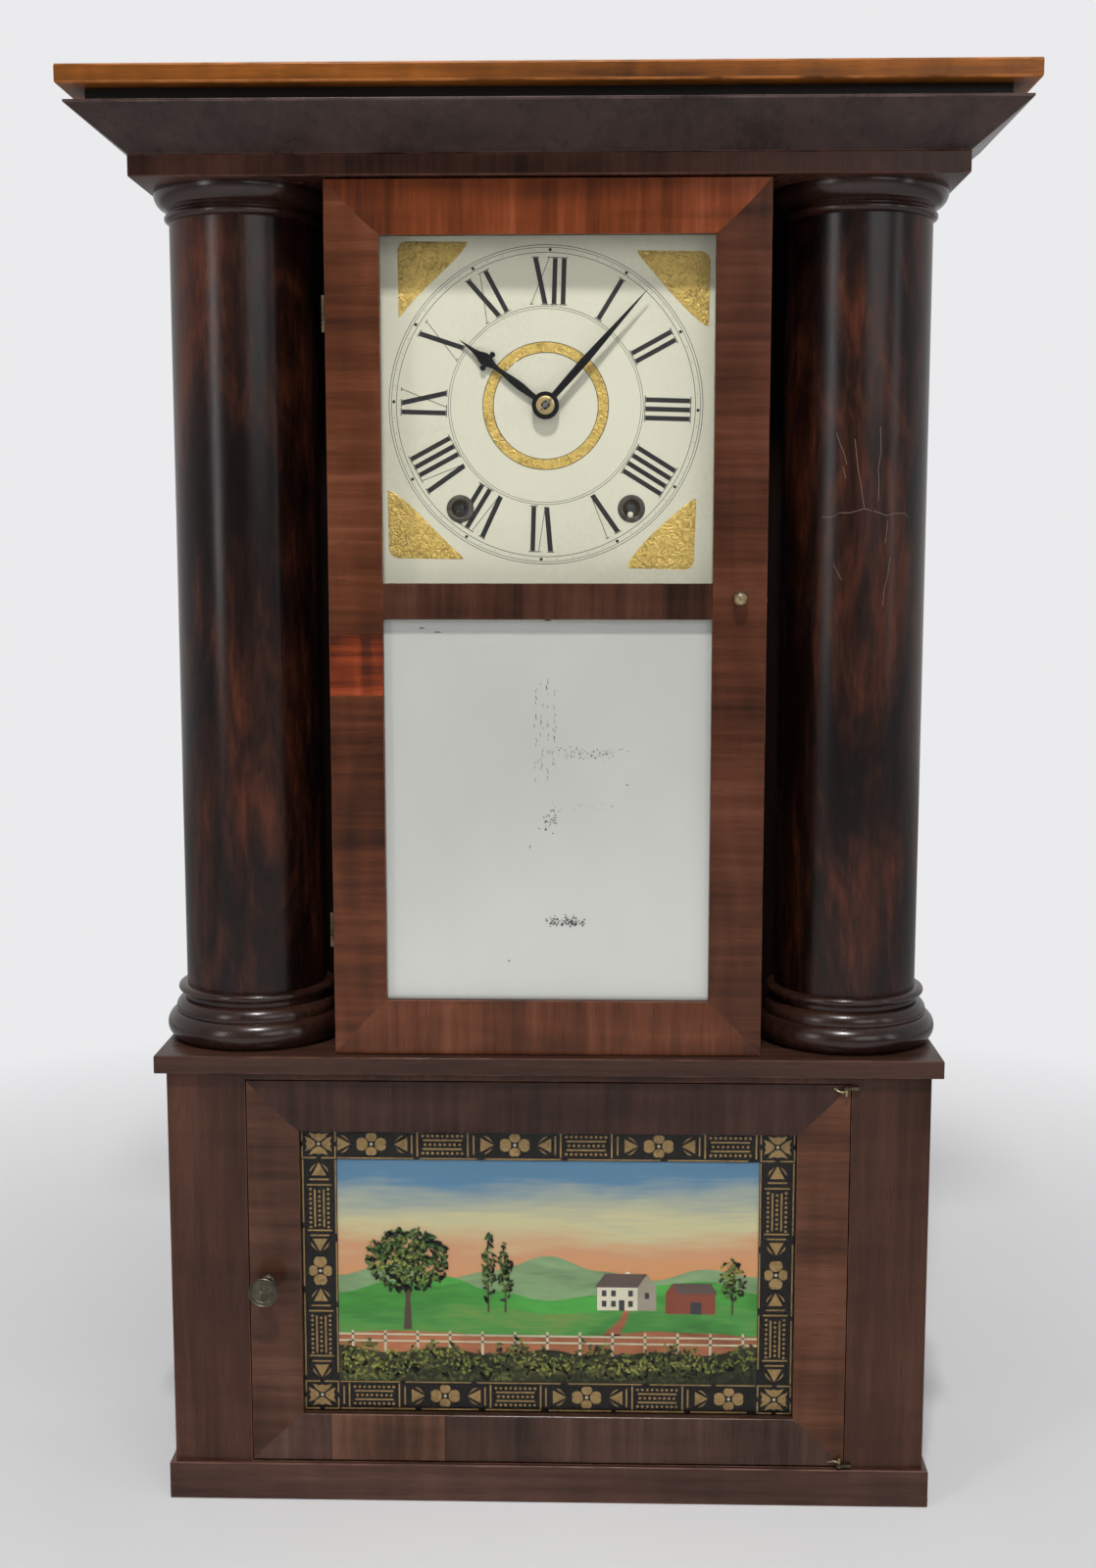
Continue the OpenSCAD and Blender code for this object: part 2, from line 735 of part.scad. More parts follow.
// Knuckles of a butt hinge between two heights
module knuckle(z0, z1) {
  translate([hinge_x, hinge_y, z0]) difference() {
    cylinder(r = knuckle_r, h = z1 - z0);
    translate([0, 0, -1]) cylinder(r = pin_hole + run, h = z1 - z0 + 2);
  }
}

wire_x = lower_hw - 3;
wire_y = base_y - 2.4;
eye_r = wire_r + 1;
eye_h = 2;
eye_z = [lower_top - eye_h - 0.5, lower_z + 0.5];

// Fixed halves of the hinges: the butt hinges' case leaves with their pins, the wire eyes of the
// lower door, and the brass stud on the trunk's side
module hinge_fixings() {
  third = butt_h / 3;
  color([0.75, 0.6, 0.3]) {
    for (z = butt_z) {
      difference() {
        union() {
          board([hinge_x, trunk_y, z], [-trunk_in, trunk_y + leaf_t, z + butt_h]);
          translate([hinge_x, hinge_y, z]) cylinder(r = knuckle_r, h = butt_h);
        }
        translate([hinge_x, hinge_y, z + third - gap / 2])
          cylinder(r = knuckle_r + gap, h = third + gap);
      }
      translate([hinge_x, hinge_y, z]) cylinder(r = pin_hole, h = butt_h);
    }
    for (z = eye_z) difference() {
      union() {
        translate([wire_x, wire_y, z]) cylinder(r = eye_r, h = eye_h);
        board([wire_x, wire_y - 0.8, z], [front_stile_x + 4, wire_y + 0.8, z + eye_h]);
        board([front_stile_x + 2, wire_y - 0.8, z], [front_stile_x + 4, base_y, z + eye_h]);
      }
      translate([wire_x, wire_y, z - 1]) cylinder(r = wire_r + run, h = 4);
    }
    translate([trunk_w / 2, door_back_y + 6, mirror_open_top + mid_rail / 2]) rotate([0, 90, 0]) {
      cylinder(r = 1.3, h = 3);
      translate([0, 0, 3]) cylinder(r = 3, h = 1.6);
    }
  }
}

// Frame of a door with its openings as [z0, z1] and a rebate for the panes behind them
module door_frame(hw, y0, z0, z1, opening, spans) {
  difference() {
    board([-hw, y0, z0], [hw, y0 + door_t, z1]);
    for (s = spans) {
      board([-opening, y0 - 1, s[0]], [opening, y0 + door_t + 1, s[1]]);
      board([-opening - rebate, y0 + lip_t, s[0] - rebate],
        [opening + rebate, y0 + door_t + 1, s[1] + rebate]);
    }
    children();
  }
}

knob_x = door_w / 2 - stile_w / 2;
knob_z = dial_open_z - mid_rail / 2 + 2;
shaft_r = 2;

// Turning catches behind the doors
catch_t = 1.5;
catch_w = 4;
catch_reach = 10.5;
catch_lip = 3;
catch_y = trunk_y + catch_lip;

module upper_door_frame() {
  color([0.42, 0.18, 0.1])
    door_frame(door_w / 2, door_y, door_z, door_top, opening_hw,
      [[dial_open_z, dial_open_top], [mirror_open_z, mirror_open_top]]) {
      rod_y([knob_x, knob_z], shaft_r + run, door_y - 1, door_back_y + 1);
      for (z = butt_z) board([-door_w / 2 - 1, door_back_y - leaf_t, z],
        [leaf_w - door_w / 2, door_back_y + 1, z + butt_h]);
    }
}

// Pane that lies in a rebate against its lip
module pane(hw, y0, z0, z1, t) {
  e = rebate - pane_gap;
  board([-hw - e, y0, z0 - e], [hw + e, y0 + t, z1 + e]);
}

module dial_glass() {
  color([0.8, 0.88, 0.86, 0.3])
    pane(opening_hw, door_y + lip_t, dial_open_z, dial_open_top, glass_t);
}

module mirror_glass() {
  color([0.72, 0.76, 0.74])
    pane(opening_hw, door_y + lip_t, mirror_open_z, mirror_open_top, glass_t);
}

module mirror_back() {
  color([0.5, 0.36, 0.22])
    pane(opening_hw, door_y + lip_t + glass_t, mirror_open_z, mirror_open_top, mirror_back_t);
}

// Door halves of the butt hinges
module butt_leaves() {
  third = butt_h / 3;
  color([0.75, 0.6, 0.3]) for (z = butt_z) difference() {
    union() {
      board([hinge_x, door_back_y - leaf_t, z], [leaf_w - door_w / 2, door_back_y, z + butt_h]);
      knuckle(z + third, z + 2 * third);
    }
    for (k = [0, 2]) translate([hinge_x, hinge_y, z + k * third - (k == 0 ? 1 : gap / 2)])
      cylinder(r = knuckle_r + gap, h = third + 1 + gap / 2);
    translate([hinge_x, hinge_y, z - 1]) cylinder(r = pin_hole + run, h = butt_h + 2);
  }
}

// Ball knob whose shaft passes through the stile to a turning catch
module upper_knob() {
  p = [knob_x, knob_z];
  ball_out = 5.4;
  color([0.8, 0.66, 0.36]) {
    translate([p[0], door_y - ball_out, p[1]]) rotate([90, 0, 0]) sphere(r = ball_r);
    rod_y(p, shaft_r, door_y - ball_out, catch_y + catch_t);
    rod_y(p, 3.4, door_y - 1.2, door_y);
    board([p[0] - catch_w / 2, catch_y, p[1] - catch_reach],
      [p[0] + catch_w / 2, catch_y + catch_t, p[1] + catch_w / 2]);
  }
}

lower_knob_p = [knob_inset - lower_hw, lower_z + knob_rise];

module lower_door_frame() {
  color([0.3, 0.16, 0.11])
    door_frame(lower_hw, base_y, lower_z, lower_top, lower_hw - lower_frame,
      [[lower_open_z, lower_open_top]])
      rod_y(lower_knob_p, shaft_r + run, base_y - 1, base_y + door_t + 1);
}

module tablet_glass() {
  color([0.62, 0.56, 0.46])
    pane(lower_hw - lower_frame, base_y + lip_t, lower_open_z, lower_open_top, glass_t);
}

// Pins of the lower door's wire hinges, each held by an arm that enters the door's front
module hinge_pins() {
  arm_off = 4;
  arm_r = wire_r - 0.2;
  color([0.78, 0.62, 0.32]) for (s = [[eye_z[0], -1], [eye_z[1], 1]]) {
    z_arm = s[0] + eye_h / 2 + s[1] * arm_off;
    translate([wire_x, wire_y, s[1] < 0 ? z_arm - wire_r : s[0] - 0.4])
      cylinder(r = wire_r, h = arm_off + wire_r + eye_h / 2 + 0.4);
    rod_y([wire_x, z_arm], arm_r, wire_y, base_y);
  }
}

module lower_knob() {
  p = lower_knob_p;
  disc_t = 3.5;
  back = max(front_y, base_y + door_t) + 0.3;
  color([0.72, 0.55, 0.28]) {
    rod_y(p, disc_r, base_y - knob_out, base_y - knob_out + disc_t);
    rod_y(p, 4, base_y - knob_out + disc_t - 0.5, base_y);
    rod_y(p, shaft_r, base_y, back + catch_t);
    board([p[0] - catch_w / 2, back, p[1] - catch_w / 2],
      [p[0] + catch_w / 2, back + catch_t, p[1] + 1.6 * catch_reach]);
  }
}

hour_y = dial_y - 2.6;
minute_y = dial_y - 6.2;
hand_t = 1.0;
hub_r = 7;
cannon_out = 2.7;
hour_out = 3.7;
minute_angle = 90 - 6 * show_minute;
hour_angle = 90 - 30 * (show_hour + show_minute / 60) - hour_ahead;

// Long tapered spear
module minute_hand() {
  color([0.08, 0.08, 0.08]) upright(minute_y - hand_t, minute_y) translate(centre)
    difference() {
      rotate(minute_angle) union() {
        circle(r = hub_r);
        polygon([[-5, -3.2], [8, -2.1], [minute_len * 0.8, -1], [minute_len, 0],
          [minute_len * 0.8, 1], [8, 2.1], [-5, 3.2]]);
      }
      circle(r = cannon_out);
    }
}

// Hour hand with a small cross in its length
module hour_hand() {
  cross_at = hour_len * 0.66;
  color([0.08, 0.08, 0.08]) upright(hour_y - hand_t, hour_y) translate(centre)
    difference() {
      rotate(hour_angle) union() {
        circle(r = hub_r);
        polygon([[-4, -2.8], [8, -2], [cross_at, -1.1], [hour_len, 0], [cross_at, 1.1], [8, 2],
          [-4, 2.8]]);
        for (a = [45:90:315]) translate([cross_at, 0]) rotate(a + 45)
          polygon([[0, -0.9], [6, -3.2], [6, 3.2], [0, 0.9]]);
      }
      circle(r = hour_out);
    }
}

cannon_y = plate_front - 4.4;
hour_wheel_y = cannon_y - 3.2;
motion_way = way(second_p, centre);

// Wheel and pipe that carry the minute hand
module cannon_wheel() {
  color([0.78, 0.62, 0.3]) difference() {
    union() {
      upright(cannon_y, cannon_y + wheel_t) translate(centre)
        polygon(tooth_ring(motion_n, motion_m, motion_way + 180 + 180 / motion_n));
      rod_y(centre, cannon_out, minute_y - hand_t - 0.6, plate_front - 0.8);
    }
    rod_y(centre, stud_r + run, minute_y - hand_t - 2, plate_front + 1);
  }
}

module hour_wheel() {
  color([0.78, 0.62, 0.3]) difference() {
    union() {
      spoked_wheel(centre, hour_n, hour_m, motion_way + 180 + 180 / hour_n, hour_wheel_y, 5);
      rod_y(centre, 6, hour_wheel_y, hour_wheel_y + wheel_t);
      rod_y(centre, hour_out, hour_y - hand_t - 0.4, hour_wheel_y + wheel_t);
    }
    rod_y(centre, cannon_out + run, hour_y - hand_t - 2, plate_front);
  }
}

// Wheel and pinion between the cannon wheel and the hour wheel
module minute_wheel() {
  color([0.76, 0.6, 0.29]) difference() {
    union() {
      upright(cannon_y, cannon_y + wheel_t) translate(second_p)
        polygon(tooth_ring(motion_n, motion_m, motion_way));
      upright(hour_wheel_y - 0.8, cannon_y) translate(second_p)
        polygon(tooth_ring(hour_pinion_n, hour_m, motion_way));
    }
    rod_y(second_p, pivot_r + run, dial_back_y, plate_front + 1);
  }
}

// Great wheel, loose on its drum's arbor, with its click and the click's pin
module great_wheel(p, mate) {
  click_r = ratchet_r + 3.6;
  click_a = way(p, mate) + 144;
  difference() {
    union() {
      spoked_wheel(p, great_n, great_m, way(p, mate), great_y, 5);
      rod_y(p, 6, great_y - 2.4, great_y + wheel_t);
      rod_y(p + polar(click_r, click_a), 1.1, great_y, ratchet_y + 1.2);
      upright(ratchet_y, ratchet_y + 1.2) translate(p) polygon([polar(click_r + 1.6, click_a - 3),
        polar(click_r - 1.6, click_a - 3), polar(ratchet_r + gap, click_a + 13),
        polar(ratchet_r + gap + 1, click_a + 14), polar(click_r + 1.6, click_a + 3)]);
    }
    rod_y(p, drum_arbor_r + run, great_y - 4, great_y + wheel_t + 1);
  }
}

flange_r = drum_r + flange_out;
ratchet_r = drum_r - 2;

// Drum with its ratchet, arbor and winding square
module drum(p) {
  sq = 4.6;
  upright(ratchet_y, drum_y) translate(p) polygon(saw_ring(24, ratchet_r, ratchet_r - 2.4, 0));
  rod_y(p, flange_r, drum_y, drum_y + flange_t);
  rod_y(p, drum_r, drum_y + flange_t, drum_y + drum_len - flange_t);
  rod_y(p, flange_r, drum_y + drum_len - flange_t, drum_y + drum_len);
  rod_y(p, drum_arbor_r, plate_front - 4, ratchet_y);
  rod_y(p, drum_arbor_r, drum_y + drum_len, plate_out - gap);
  rod_y(p, pivot_r, plate_out - gap, plate_back + 0.3);
  board([p[0] - sq / 2, dial_y + 1.5, p[1] - sq / 2], [p[0] + sq / 2, plate_front - 4, p[1] + sq / 2]);
}

module time_great_wheel() {
  color([0.8, 0.64, 0.31]) great_wheel(time_arbor, second_p);
}

module strike_great_wheel() {
  color([0.8, 0.64, 0.31]) great_wheel(strike_arbor, pin_p);
}

module time_drum() {
  color([0.72, 0.57, 0.28]) drum(time_arbor);
}

module strike_drum() {
  color([0.72, 0.57, 0.28]) drum(strike_arbor);
}

// Second wheel, whose arbor runs on in front of the plate to carry the minute wheel
module second_wheel() {
  color([0.78, 0.62, 0.3]) {
    arbor(second_p);
    rod_y(second_p, pivot_r, hour_wheel_y - 1.4, plate_front);
    lantern_for(second_p, great_m, way(second_p, time_arbor), great_y);
    spoked_wheel(second_p, second_n, second_m, way(second_p, third_p), second_y, 4);
  }
}

module third_wheel() {
  color([0.78, 0.62, 0.3]) {
    arbor(third_p);
    lantern_for(third_p, second_m, way(third_p, second_p), second_y);
    spoked_wheel(third_p, third_n, third_m, way(third_p, escape_p), third_y, 4);
  }
}

module escape_wheel() {
  color([0.8, 0.66, 0.34]) {
    arbor(escape_p);
    lantern_for(escape_p, third_m, way(escape_p, third_p), third_y);
    difference() {
      upright(escape_y, escape_y + wheel_t) translate(escape_p)
        polygon(saw_ring(escape_n, escape_r, escape_r - 1.9, 0));
      difference() {
        rod_y(escape_p, escape_r - 4, escape_y - 1, escape_y + wheel_t + 1);
        rod_y(escape_p, 4.5, escape_y - 2, escape_y + wheel_t + 2);
        for (a = [0:90:270]) upright(escape_y - 2, escape_y + wheel_t + 2)
          translate(escape_p) rotate(a) translate([0, -1]) square([escape_r - 3, 2]);
      }
    }
  }
}

verge_gap = 1.5;

// Verge strip over the escape wheel, its arbor, and the crutch behind the back plate
module verge() {
  r0 = escape_r + verge_gap;
  y0 = escape_y - 1;
  y1 = escape_y + wheel_t + 1;
  crutch_len = 46;
  fork_z = verge_p[1] - crutch_len;
  color([0.4, 0.41, 0.44]) {
    rod_y(verge_p, arbor_r, plate_in + gap, plate_out - gap);
    rod_y(verge_p, pivot_r, plate_front - 0.3, plate_back + 4);
    upright(y0, y1) translate(escape_p) polygon(concat(arc([0, 0], r0, 38, 142, 16),
      arc([0, 0], r0 + 1.8, 142, 38, 16)));
    board([verge_p[0] - 1.5, y0, escape_p[1] + r0 + 0.9], [verge_p[0] + 1.5, y1, verge_p[1]]);
    board([verge_p[0] - 0.8, plate_back + 2.4, fork_z], [verge_p[0] + 0.8, plate_back + 4, verge_p[1] + 1]);
    for (x = [-2.8, 1.3])
      board([verge_p[0] + x, plate_back + 2.4, fork_z - 1.6], [verge_p[0] + x + 1.5, pend_y + 2, fork_z]);
    board([verge_p[0] - 2.8, plate_back + 2.4, fork_z - 1.6],
      [verge_p[0] + 2.8, plate_back + 4, fork_z]);
  }
}

bob_z = plinth_z + bob_rise;

// Pendulum rod on its suspension spring, hung from a brass pin
module pendulum_rod() {
  p = verge_p;
  color([0.6, 0.6, 0.58]) {
    rod_y(p, 1.2, pend_y - 4.6, pend_y + 4.6);
    board([p[0] - 0.2, pend_y - 1.6, p[1] - 14], [p[0] + 0.2, pend_y + 1.6, p[1]]);
    translate([p[0], pend_y, bob_z - bob_r - 12])
      cylinder(r = rod_r, h = p[1] - bob_z + bob_r - 2);
  }
}

// Lens-shaped bob with the rating nut under it
module pendulum_bob() {
  rim = 0.8;
  sag = bob_t / 2 - rim;
  lens_r = (bob_r * bob_r + sag * sag) / (2 * sag);
  half = asin(bob_r / lens_r);
  color([0.8, 0.66, 0.36]) difference() {
    union() {
      translate([verge_p[0], pend_y, bob_z]) rotate([90, 0, 0]) rotate_extrude()
        polygon(concat(arc([0, lens_r - bob_t / 2], lens_r, -90, half - 90, 8),
          arc([0, bob_t / 2 - lens_r], lens_r, 90 - half, 90, 8)));
      translate([verge_p[0], pend_y, bob_z - bob_r - 3 - gap]) cylinder(r = 4, h = 3);
    }
    translate([verge_p[0], pend_y, bob_z - bob_r - 20]) cylinder(r = rod_r + run, h = 2 * bob_r + 40);
  }
}

// Second wheel of the strike, with the pins that lift the hammer
module pin_wheel() {
  color([0.78, 0.62, 0.3]) {
    arbor(pin_p);
    lantern_for(pin_p, great_m, way(pin_p, strike_arbor), great_y);
    spoked_wheel(pin_p, second_n, second_m, way(pin_p, fly_p), second_y, 4);
    for (a = [0:45:315]) rod_y(pin_p + polar(pin_ring, a), 0.8, pin_y, second_y + 0.2);
  }
}

// Hammer pins stand on the rim, clear of the shroud that turns beside them
pin_ring = second_m * (second_n / 2 - 2.1);

module fly() {
  color([0.74, 0.58, 0.28]) {
    arbor(fly_p);
    lantern_for(fly_p, second_m, way(fly_p, pin_p), second_y);
    board([fly_p[0] - 13, plate_in + 8, fly_p[1] - 0.5], [fly_p[0] + 13, plate_in + 20, fly_p[1] + 0.5]);
    rod_y(fly_p, 2.2, plate_in + 8, plate_in + 20);
  }
}

// Hammer: arbor, lifting tail, and a wire that hangs to the gong
module hammer() {
  tail = norm(pin_p - hammer_p) - pin_ring - 1.8;
  hang = hammer_p - head_p;
  color([0.42, 0.42, 0.44]) {
    rod_y(hammer_p, arbor_r, plate_in + gap, plate_out - gap);
    rod_y(hammer_p, pivot_r, plate_front - 0.3, gong_y);
    upright(pin_y, second_y - 0.6) translate(hammer_p) rotate(way(hammer_p, pin_p))
      translate([0, -1]) square([tail, 2]);
    rod_y(hammer_p, 2.6, gong_y - 3, gong_y + 3);
    translate([head_p[0], gong_y, head_p[1]]) rotate([0, atan2(hang[0], hang[1]), 0])
      cylinder(r = 1.1, h = norm(hang));
    translate([head_p[0] - head_len / 2, gong_y, head_p[1]]) rotate([0, 90, 0])
      cylinder(r = head_r, h = head_len);
  }
}

// Cast weight with a neck and a wire eye
module weight() {
  translate([0, column_y, weight_z]) {
    cylinder(r = weight_r, h = weight_h - 4);
    translate([0, 0, weight_h - 4]) cylinder(r1 = weight_r, r2 = weight_r - 4, h = 4);
    translate([0, 0, weight_h]) cylinder(r = 3, h = neck_h);
  }
  translate([0, column_y, hook_z]) rotate([90, 0, 0]) rotate_extrude()
    translate([hook_r, 0]) circle(r = hook_wire, $fn = 24);
}

module time_weight() {
  color([0.25, 0.25, 0.26]) translate([column_x, 0, 0]) weight();
}

module strike_weight() {
  color([0.25, 0.25, 0.26]) translate([-column_x, 0, 0]) weight();
}

// Cord from the drum up over both pulleys and down the column, for the right-hand side
module cord(p, inner_x) {
  rise_x = p[0] + wrap_r;
  turn_z = pulley_z + rope_r;
  hook_top = hook_z + hook_r + hook_wire + gap / 2;
  translate([p[0], column_y, p[1]]) rotate([90, 0, 0]) rotate([0, 0, 20])
    rotate_extrude(angle = 340) translate([wrap_r, 0]) circle(r = cord_r, $fn = 24);
  translate([rise_x, column_y, p[1]]) cylinder(r = cord_r, h = pulley_z - p[1], $fn = 24);
  translate([inner_x, column_y, pulley_z]) rotate([90, 0, 0]) rotate([0, 0, 90])
    rotate_extrude(angle = 90) translate([rope_r, 0]) circle(r = cord_r, $fn = 24);
  translate([inner_x, column_y, turn_z]) rotate([0, 90, 0])
    cylinder(r = cord_r, h = outer_x - inner_x, $fn = 24);
  translate([outer_x, column_y, pulley_z]) rotate([90, 0, 0]) rotate_extrude(angle = 90)
    translate([rope_r, 0]) circle(r = cord_r, $fn = 24);
  translate([column_x, column_y, hook_top]) cylinder(r = cord_r, h = pulley_z - hook_top, $fn = 24);
}

module time_cord() {
  color([0.6, 0.52, 0.38]) cord(time_arbor, time_inner_x);
}

module strike_cord() {
  color([0.6, 0.52, 0.38]) mirror([1, 0, 0])
    cord([-strike_arbor[0], strike_arbor[1]], -strike_inner_x);
}

module pulley(x) {
  w = pulley_w / 2;
  color([0.5, 0.36, 0.2]) translate([x, column_y, pulley_z]) rotate([90, 0, 0]) rotate_extrude()
    polygon([[axle_r + run, -w], [pulley_r, -w], [pulley_r, -w + 0.7], [groove_r, -cord_r - 0.1],
      [groove_r, cord_r + 0.1], [pulley_r, w - 0.7], [pulley_r, w], [axle_r + run, w]]);
}

module time_pulley_inner() {
  pulley(time_inner_x);
}

module time_pulley_outer() {
  pulley(outer_x);
}

module strike_pulley_inner() {
  pulley(strike_inner_x);
}

module strike_pulley_outer() {
  pulley(-outer_x);
}

cap_board();
cap_cleats();
cornice();
frieze_board();
capitals();
columns();
column_feet();
trunk_sides();
back_boards();
plinth_board();
base_carcass();
base_front();
base_skirt();
dial_board();
dial_grommets();
inner_framing();
front_plate();
back_plate();
plate_pillars();
pendulum_cock();
gong_base();
gong();
pulley_axles();
hinge_fixings();
upper_door_frame();
dial_glass();
mirror_glass();
mirror_back();
butt_leaves();
upper_knob();
lower_door_frame();
tablet_glass();
hinge_pins();
lower_knob();
minute_hand();
cannon_wheel();
hour_hand();
hour_wheel();
minute_wheel();
time_great_wheel();
time_drum();
second_wheel();
third_wheel();
escape_wheel();
verge();
pendulum_rod();
pendulum_bob();
strike_great_wheel();
strike_drum();
pin_wheel();
fly();
hammer();
time_weight();
strike_weight();
time_cord();
strike_cord();
time_pulley_inner();
time_pulley_outer();
strike_pulley_inner();
strike_pulley_outer();
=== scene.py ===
"""Looks of a hollow column shelf clock: woods, glass, painted dial and tablet, brass, iron and cords."""

import json
import math
import random

import bmesh
import bpy
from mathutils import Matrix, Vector

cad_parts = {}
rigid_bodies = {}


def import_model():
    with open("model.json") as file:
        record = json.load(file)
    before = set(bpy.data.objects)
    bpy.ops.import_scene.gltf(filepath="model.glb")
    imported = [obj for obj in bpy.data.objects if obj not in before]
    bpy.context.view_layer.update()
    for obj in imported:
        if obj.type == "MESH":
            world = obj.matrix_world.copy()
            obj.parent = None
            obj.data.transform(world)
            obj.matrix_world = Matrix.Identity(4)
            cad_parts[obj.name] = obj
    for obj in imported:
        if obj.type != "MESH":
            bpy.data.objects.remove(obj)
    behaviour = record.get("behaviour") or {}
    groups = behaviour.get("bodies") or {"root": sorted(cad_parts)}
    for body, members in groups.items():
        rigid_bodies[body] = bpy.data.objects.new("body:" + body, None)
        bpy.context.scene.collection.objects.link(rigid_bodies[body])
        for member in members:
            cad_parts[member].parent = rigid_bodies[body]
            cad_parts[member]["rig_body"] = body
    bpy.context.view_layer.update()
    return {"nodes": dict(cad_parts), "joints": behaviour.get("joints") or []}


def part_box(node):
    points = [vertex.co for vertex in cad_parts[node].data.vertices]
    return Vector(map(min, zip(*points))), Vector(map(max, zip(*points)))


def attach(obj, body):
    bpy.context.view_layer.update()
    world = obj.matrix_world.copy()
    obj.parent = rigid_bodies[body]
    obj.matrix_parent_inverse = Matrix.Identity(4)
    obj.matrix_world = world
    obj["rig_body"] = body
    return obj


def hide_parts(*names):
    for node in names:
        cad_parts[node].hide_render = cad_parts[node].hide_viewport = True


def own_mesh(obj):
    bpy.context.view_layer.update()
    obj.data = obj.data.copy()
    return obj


bl_info = {
    "name": "Hollow column shelf clock",
    "version": (1, 0, 0),
    "blender": (4, 5, 0),
    "location": "3D view > Sidebar > Clock",
    "description": "Woods, glass, dial, tablet and fittings of a weight-driven shelf clock",
    "category": "Add Mesh",
}

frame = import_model()
MM = 0.001

# Openings of the two doors, in millimetres: half widths, and heights above the ground
UPPER_HALF = 101.0
DIAL_LOW, DIAL_TOP = 592.0, 799.5
MIRROR_LOW, MIRROR_TOP = 331.0, 570.0
TABLET_HALF = 158.0
TABLET_LOW, TABLET_TOP = 56.7, 245.7


def srgb(red, green, blue):
    """Linear colour of a screen colour given as 0 to 255."""
    parts = [c / 255 for c in (red, green, blue)]
    return tuple(c / 12.92 if c < 0.04 else ((c + 0.055) / 1.055) ** 2.4 for c in parts)


def node_box(name):
    """Low and high corners of a frame node, in millimetres."""
    lo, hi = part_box(name)
    return [c / MM for c in lo], [c / MM for c in hi]


def joint(name):
    """Row of a joint in the record."""
    return next(row for row in frame["joints"] if row["name"] == name)


def pivot(name):
    """x and z of a turning joint, in millimetres."""
    x, _, z = joint(name)["pos_m"]
    return x / MM, z / MM


def mid(a, b, t=0.5):
    return a + (b - a) * t


# Middle of the dial's hands, and a point on the line they turn about
HUB = pivot("minute_hand_turn")
HUB_AXIS = (HUB[0], 0, HUB[1])


def colour_value(title, note, default):
    return bpy.props.FloatVectorProperty(
        name=title, description=note, subtype="COLOR", size=3, min=0, max=1, default=default)


def length_value(title, note, default):
    return bpy.props.FloatProperty(
        name=title, description=note, subtype="DISTANCE", unit="LENGTH", min=0, default=default * MM)


class ClockWoods(bpy.types.PropertyGroup):
    """Colours of the woods."""

    cap: colour_value("Cap board", "Light wood of the cap board", srgb(140, 86, 46))
    cleats: colour_value("Cap strips", "Strips under the cap board", srgb(26, 20, 16))
    cornice: colour_value("Cornice", "Bevelled cornice", srgb(72, 58, 55))
    frieze: colour_value("Frieze", "Frieze board", srgb(72, 46, 38))
    column: colour_value("Columns", "Crotch mahogany of the columns", srgb(53, 26, 17))
    turning: colour_value("Turnings", "Capitals and feet", srgb(46, 26, 19))
    plinth: colour_value("Plinth board", "Board under the columns", srgb(72, 50, 42))
    base: colour_value("Lower case", "Stiles and rails of the lower case", srgb(76, 50, 40))
    skirt: colour_value("Base moulding", "Strips round the foot of the case", srgb(84, 60, 52))
    trunk: colour_value("Trunk", "Sides behind the upper door", srgb(66, 44, 36))
    pine: colour_value("Inner wood", "Bare softwood inside and behind", srgb(150, 116, 78))
    upper_top: colour_value("Upper top rail", "Upper door, top rail", srgb(116, 62, 40))
    upper_left: colour_value("Upper left stile", "Upper door, hinge side", srgb(100, 60, 43))
    upper_patch: colour_value("Stile patch", "Redder patch on the hinge side", srgb(138, 68, 46))
    upper_right: colour_value("Upper right stile", "Upper door, knob side", srgb(88, 53, 39))
    upper_mid: colour_value("Middle rail", "Rail between dial and mirror", srgb(76, 49, 38))
    upper_low: colour_value("Upper bottom rail", "Upper door, bottom rail", srgb(104, 63, 46))
    lower_top: colour_value("Lower top rail", "Lower door, top rail", srgb(66, 45, 39))
    lower_left: colour_value("Lower left stile", "Lower door, knob side", srgb(84, 57, 45))
    lower_right: colour_value("Lower right stile", "Lower door, hinge side", srgb(90, 58, 43))
    lower_low: colour_value("Lower bottom rail", "Lower door, bottom rail", srgb(82, 60, 52))
    lower_patch: colour_value("Rail patch", "Lighter patch on the bottom rail", srgb(94, 66, 52))
    veneer: length_value("Veneer", "Thickness of the door veneers", 0.7)


class ClockDial(bpy.types.PropertyGroup):
    """Colours and sizes of the dial and hands."""

    paint: colour_value("Dial paint", "Cream ground of the dial", srgb(226, 222, 200))
    line: colour_value("Dial lines", "Numerals, dots and circles", srgb(28, 26, 27))
    gilt: colour_value("Dial gilt", "Corner pieces and ring", srgb(205, 172, 88))
    numeral_foot: length_value("Numeral feet", "Radius of the numerals' feet", 61)
    numeral_head: length_value("Numeral heads", "Radius of the numerals' heads", 89)
    turned: bpy.props.FloatProperty(
        name="Dial turn", description="How far the painting sits turned clockwise",
        subtype="ANGLE", default=math.radians(1.7))


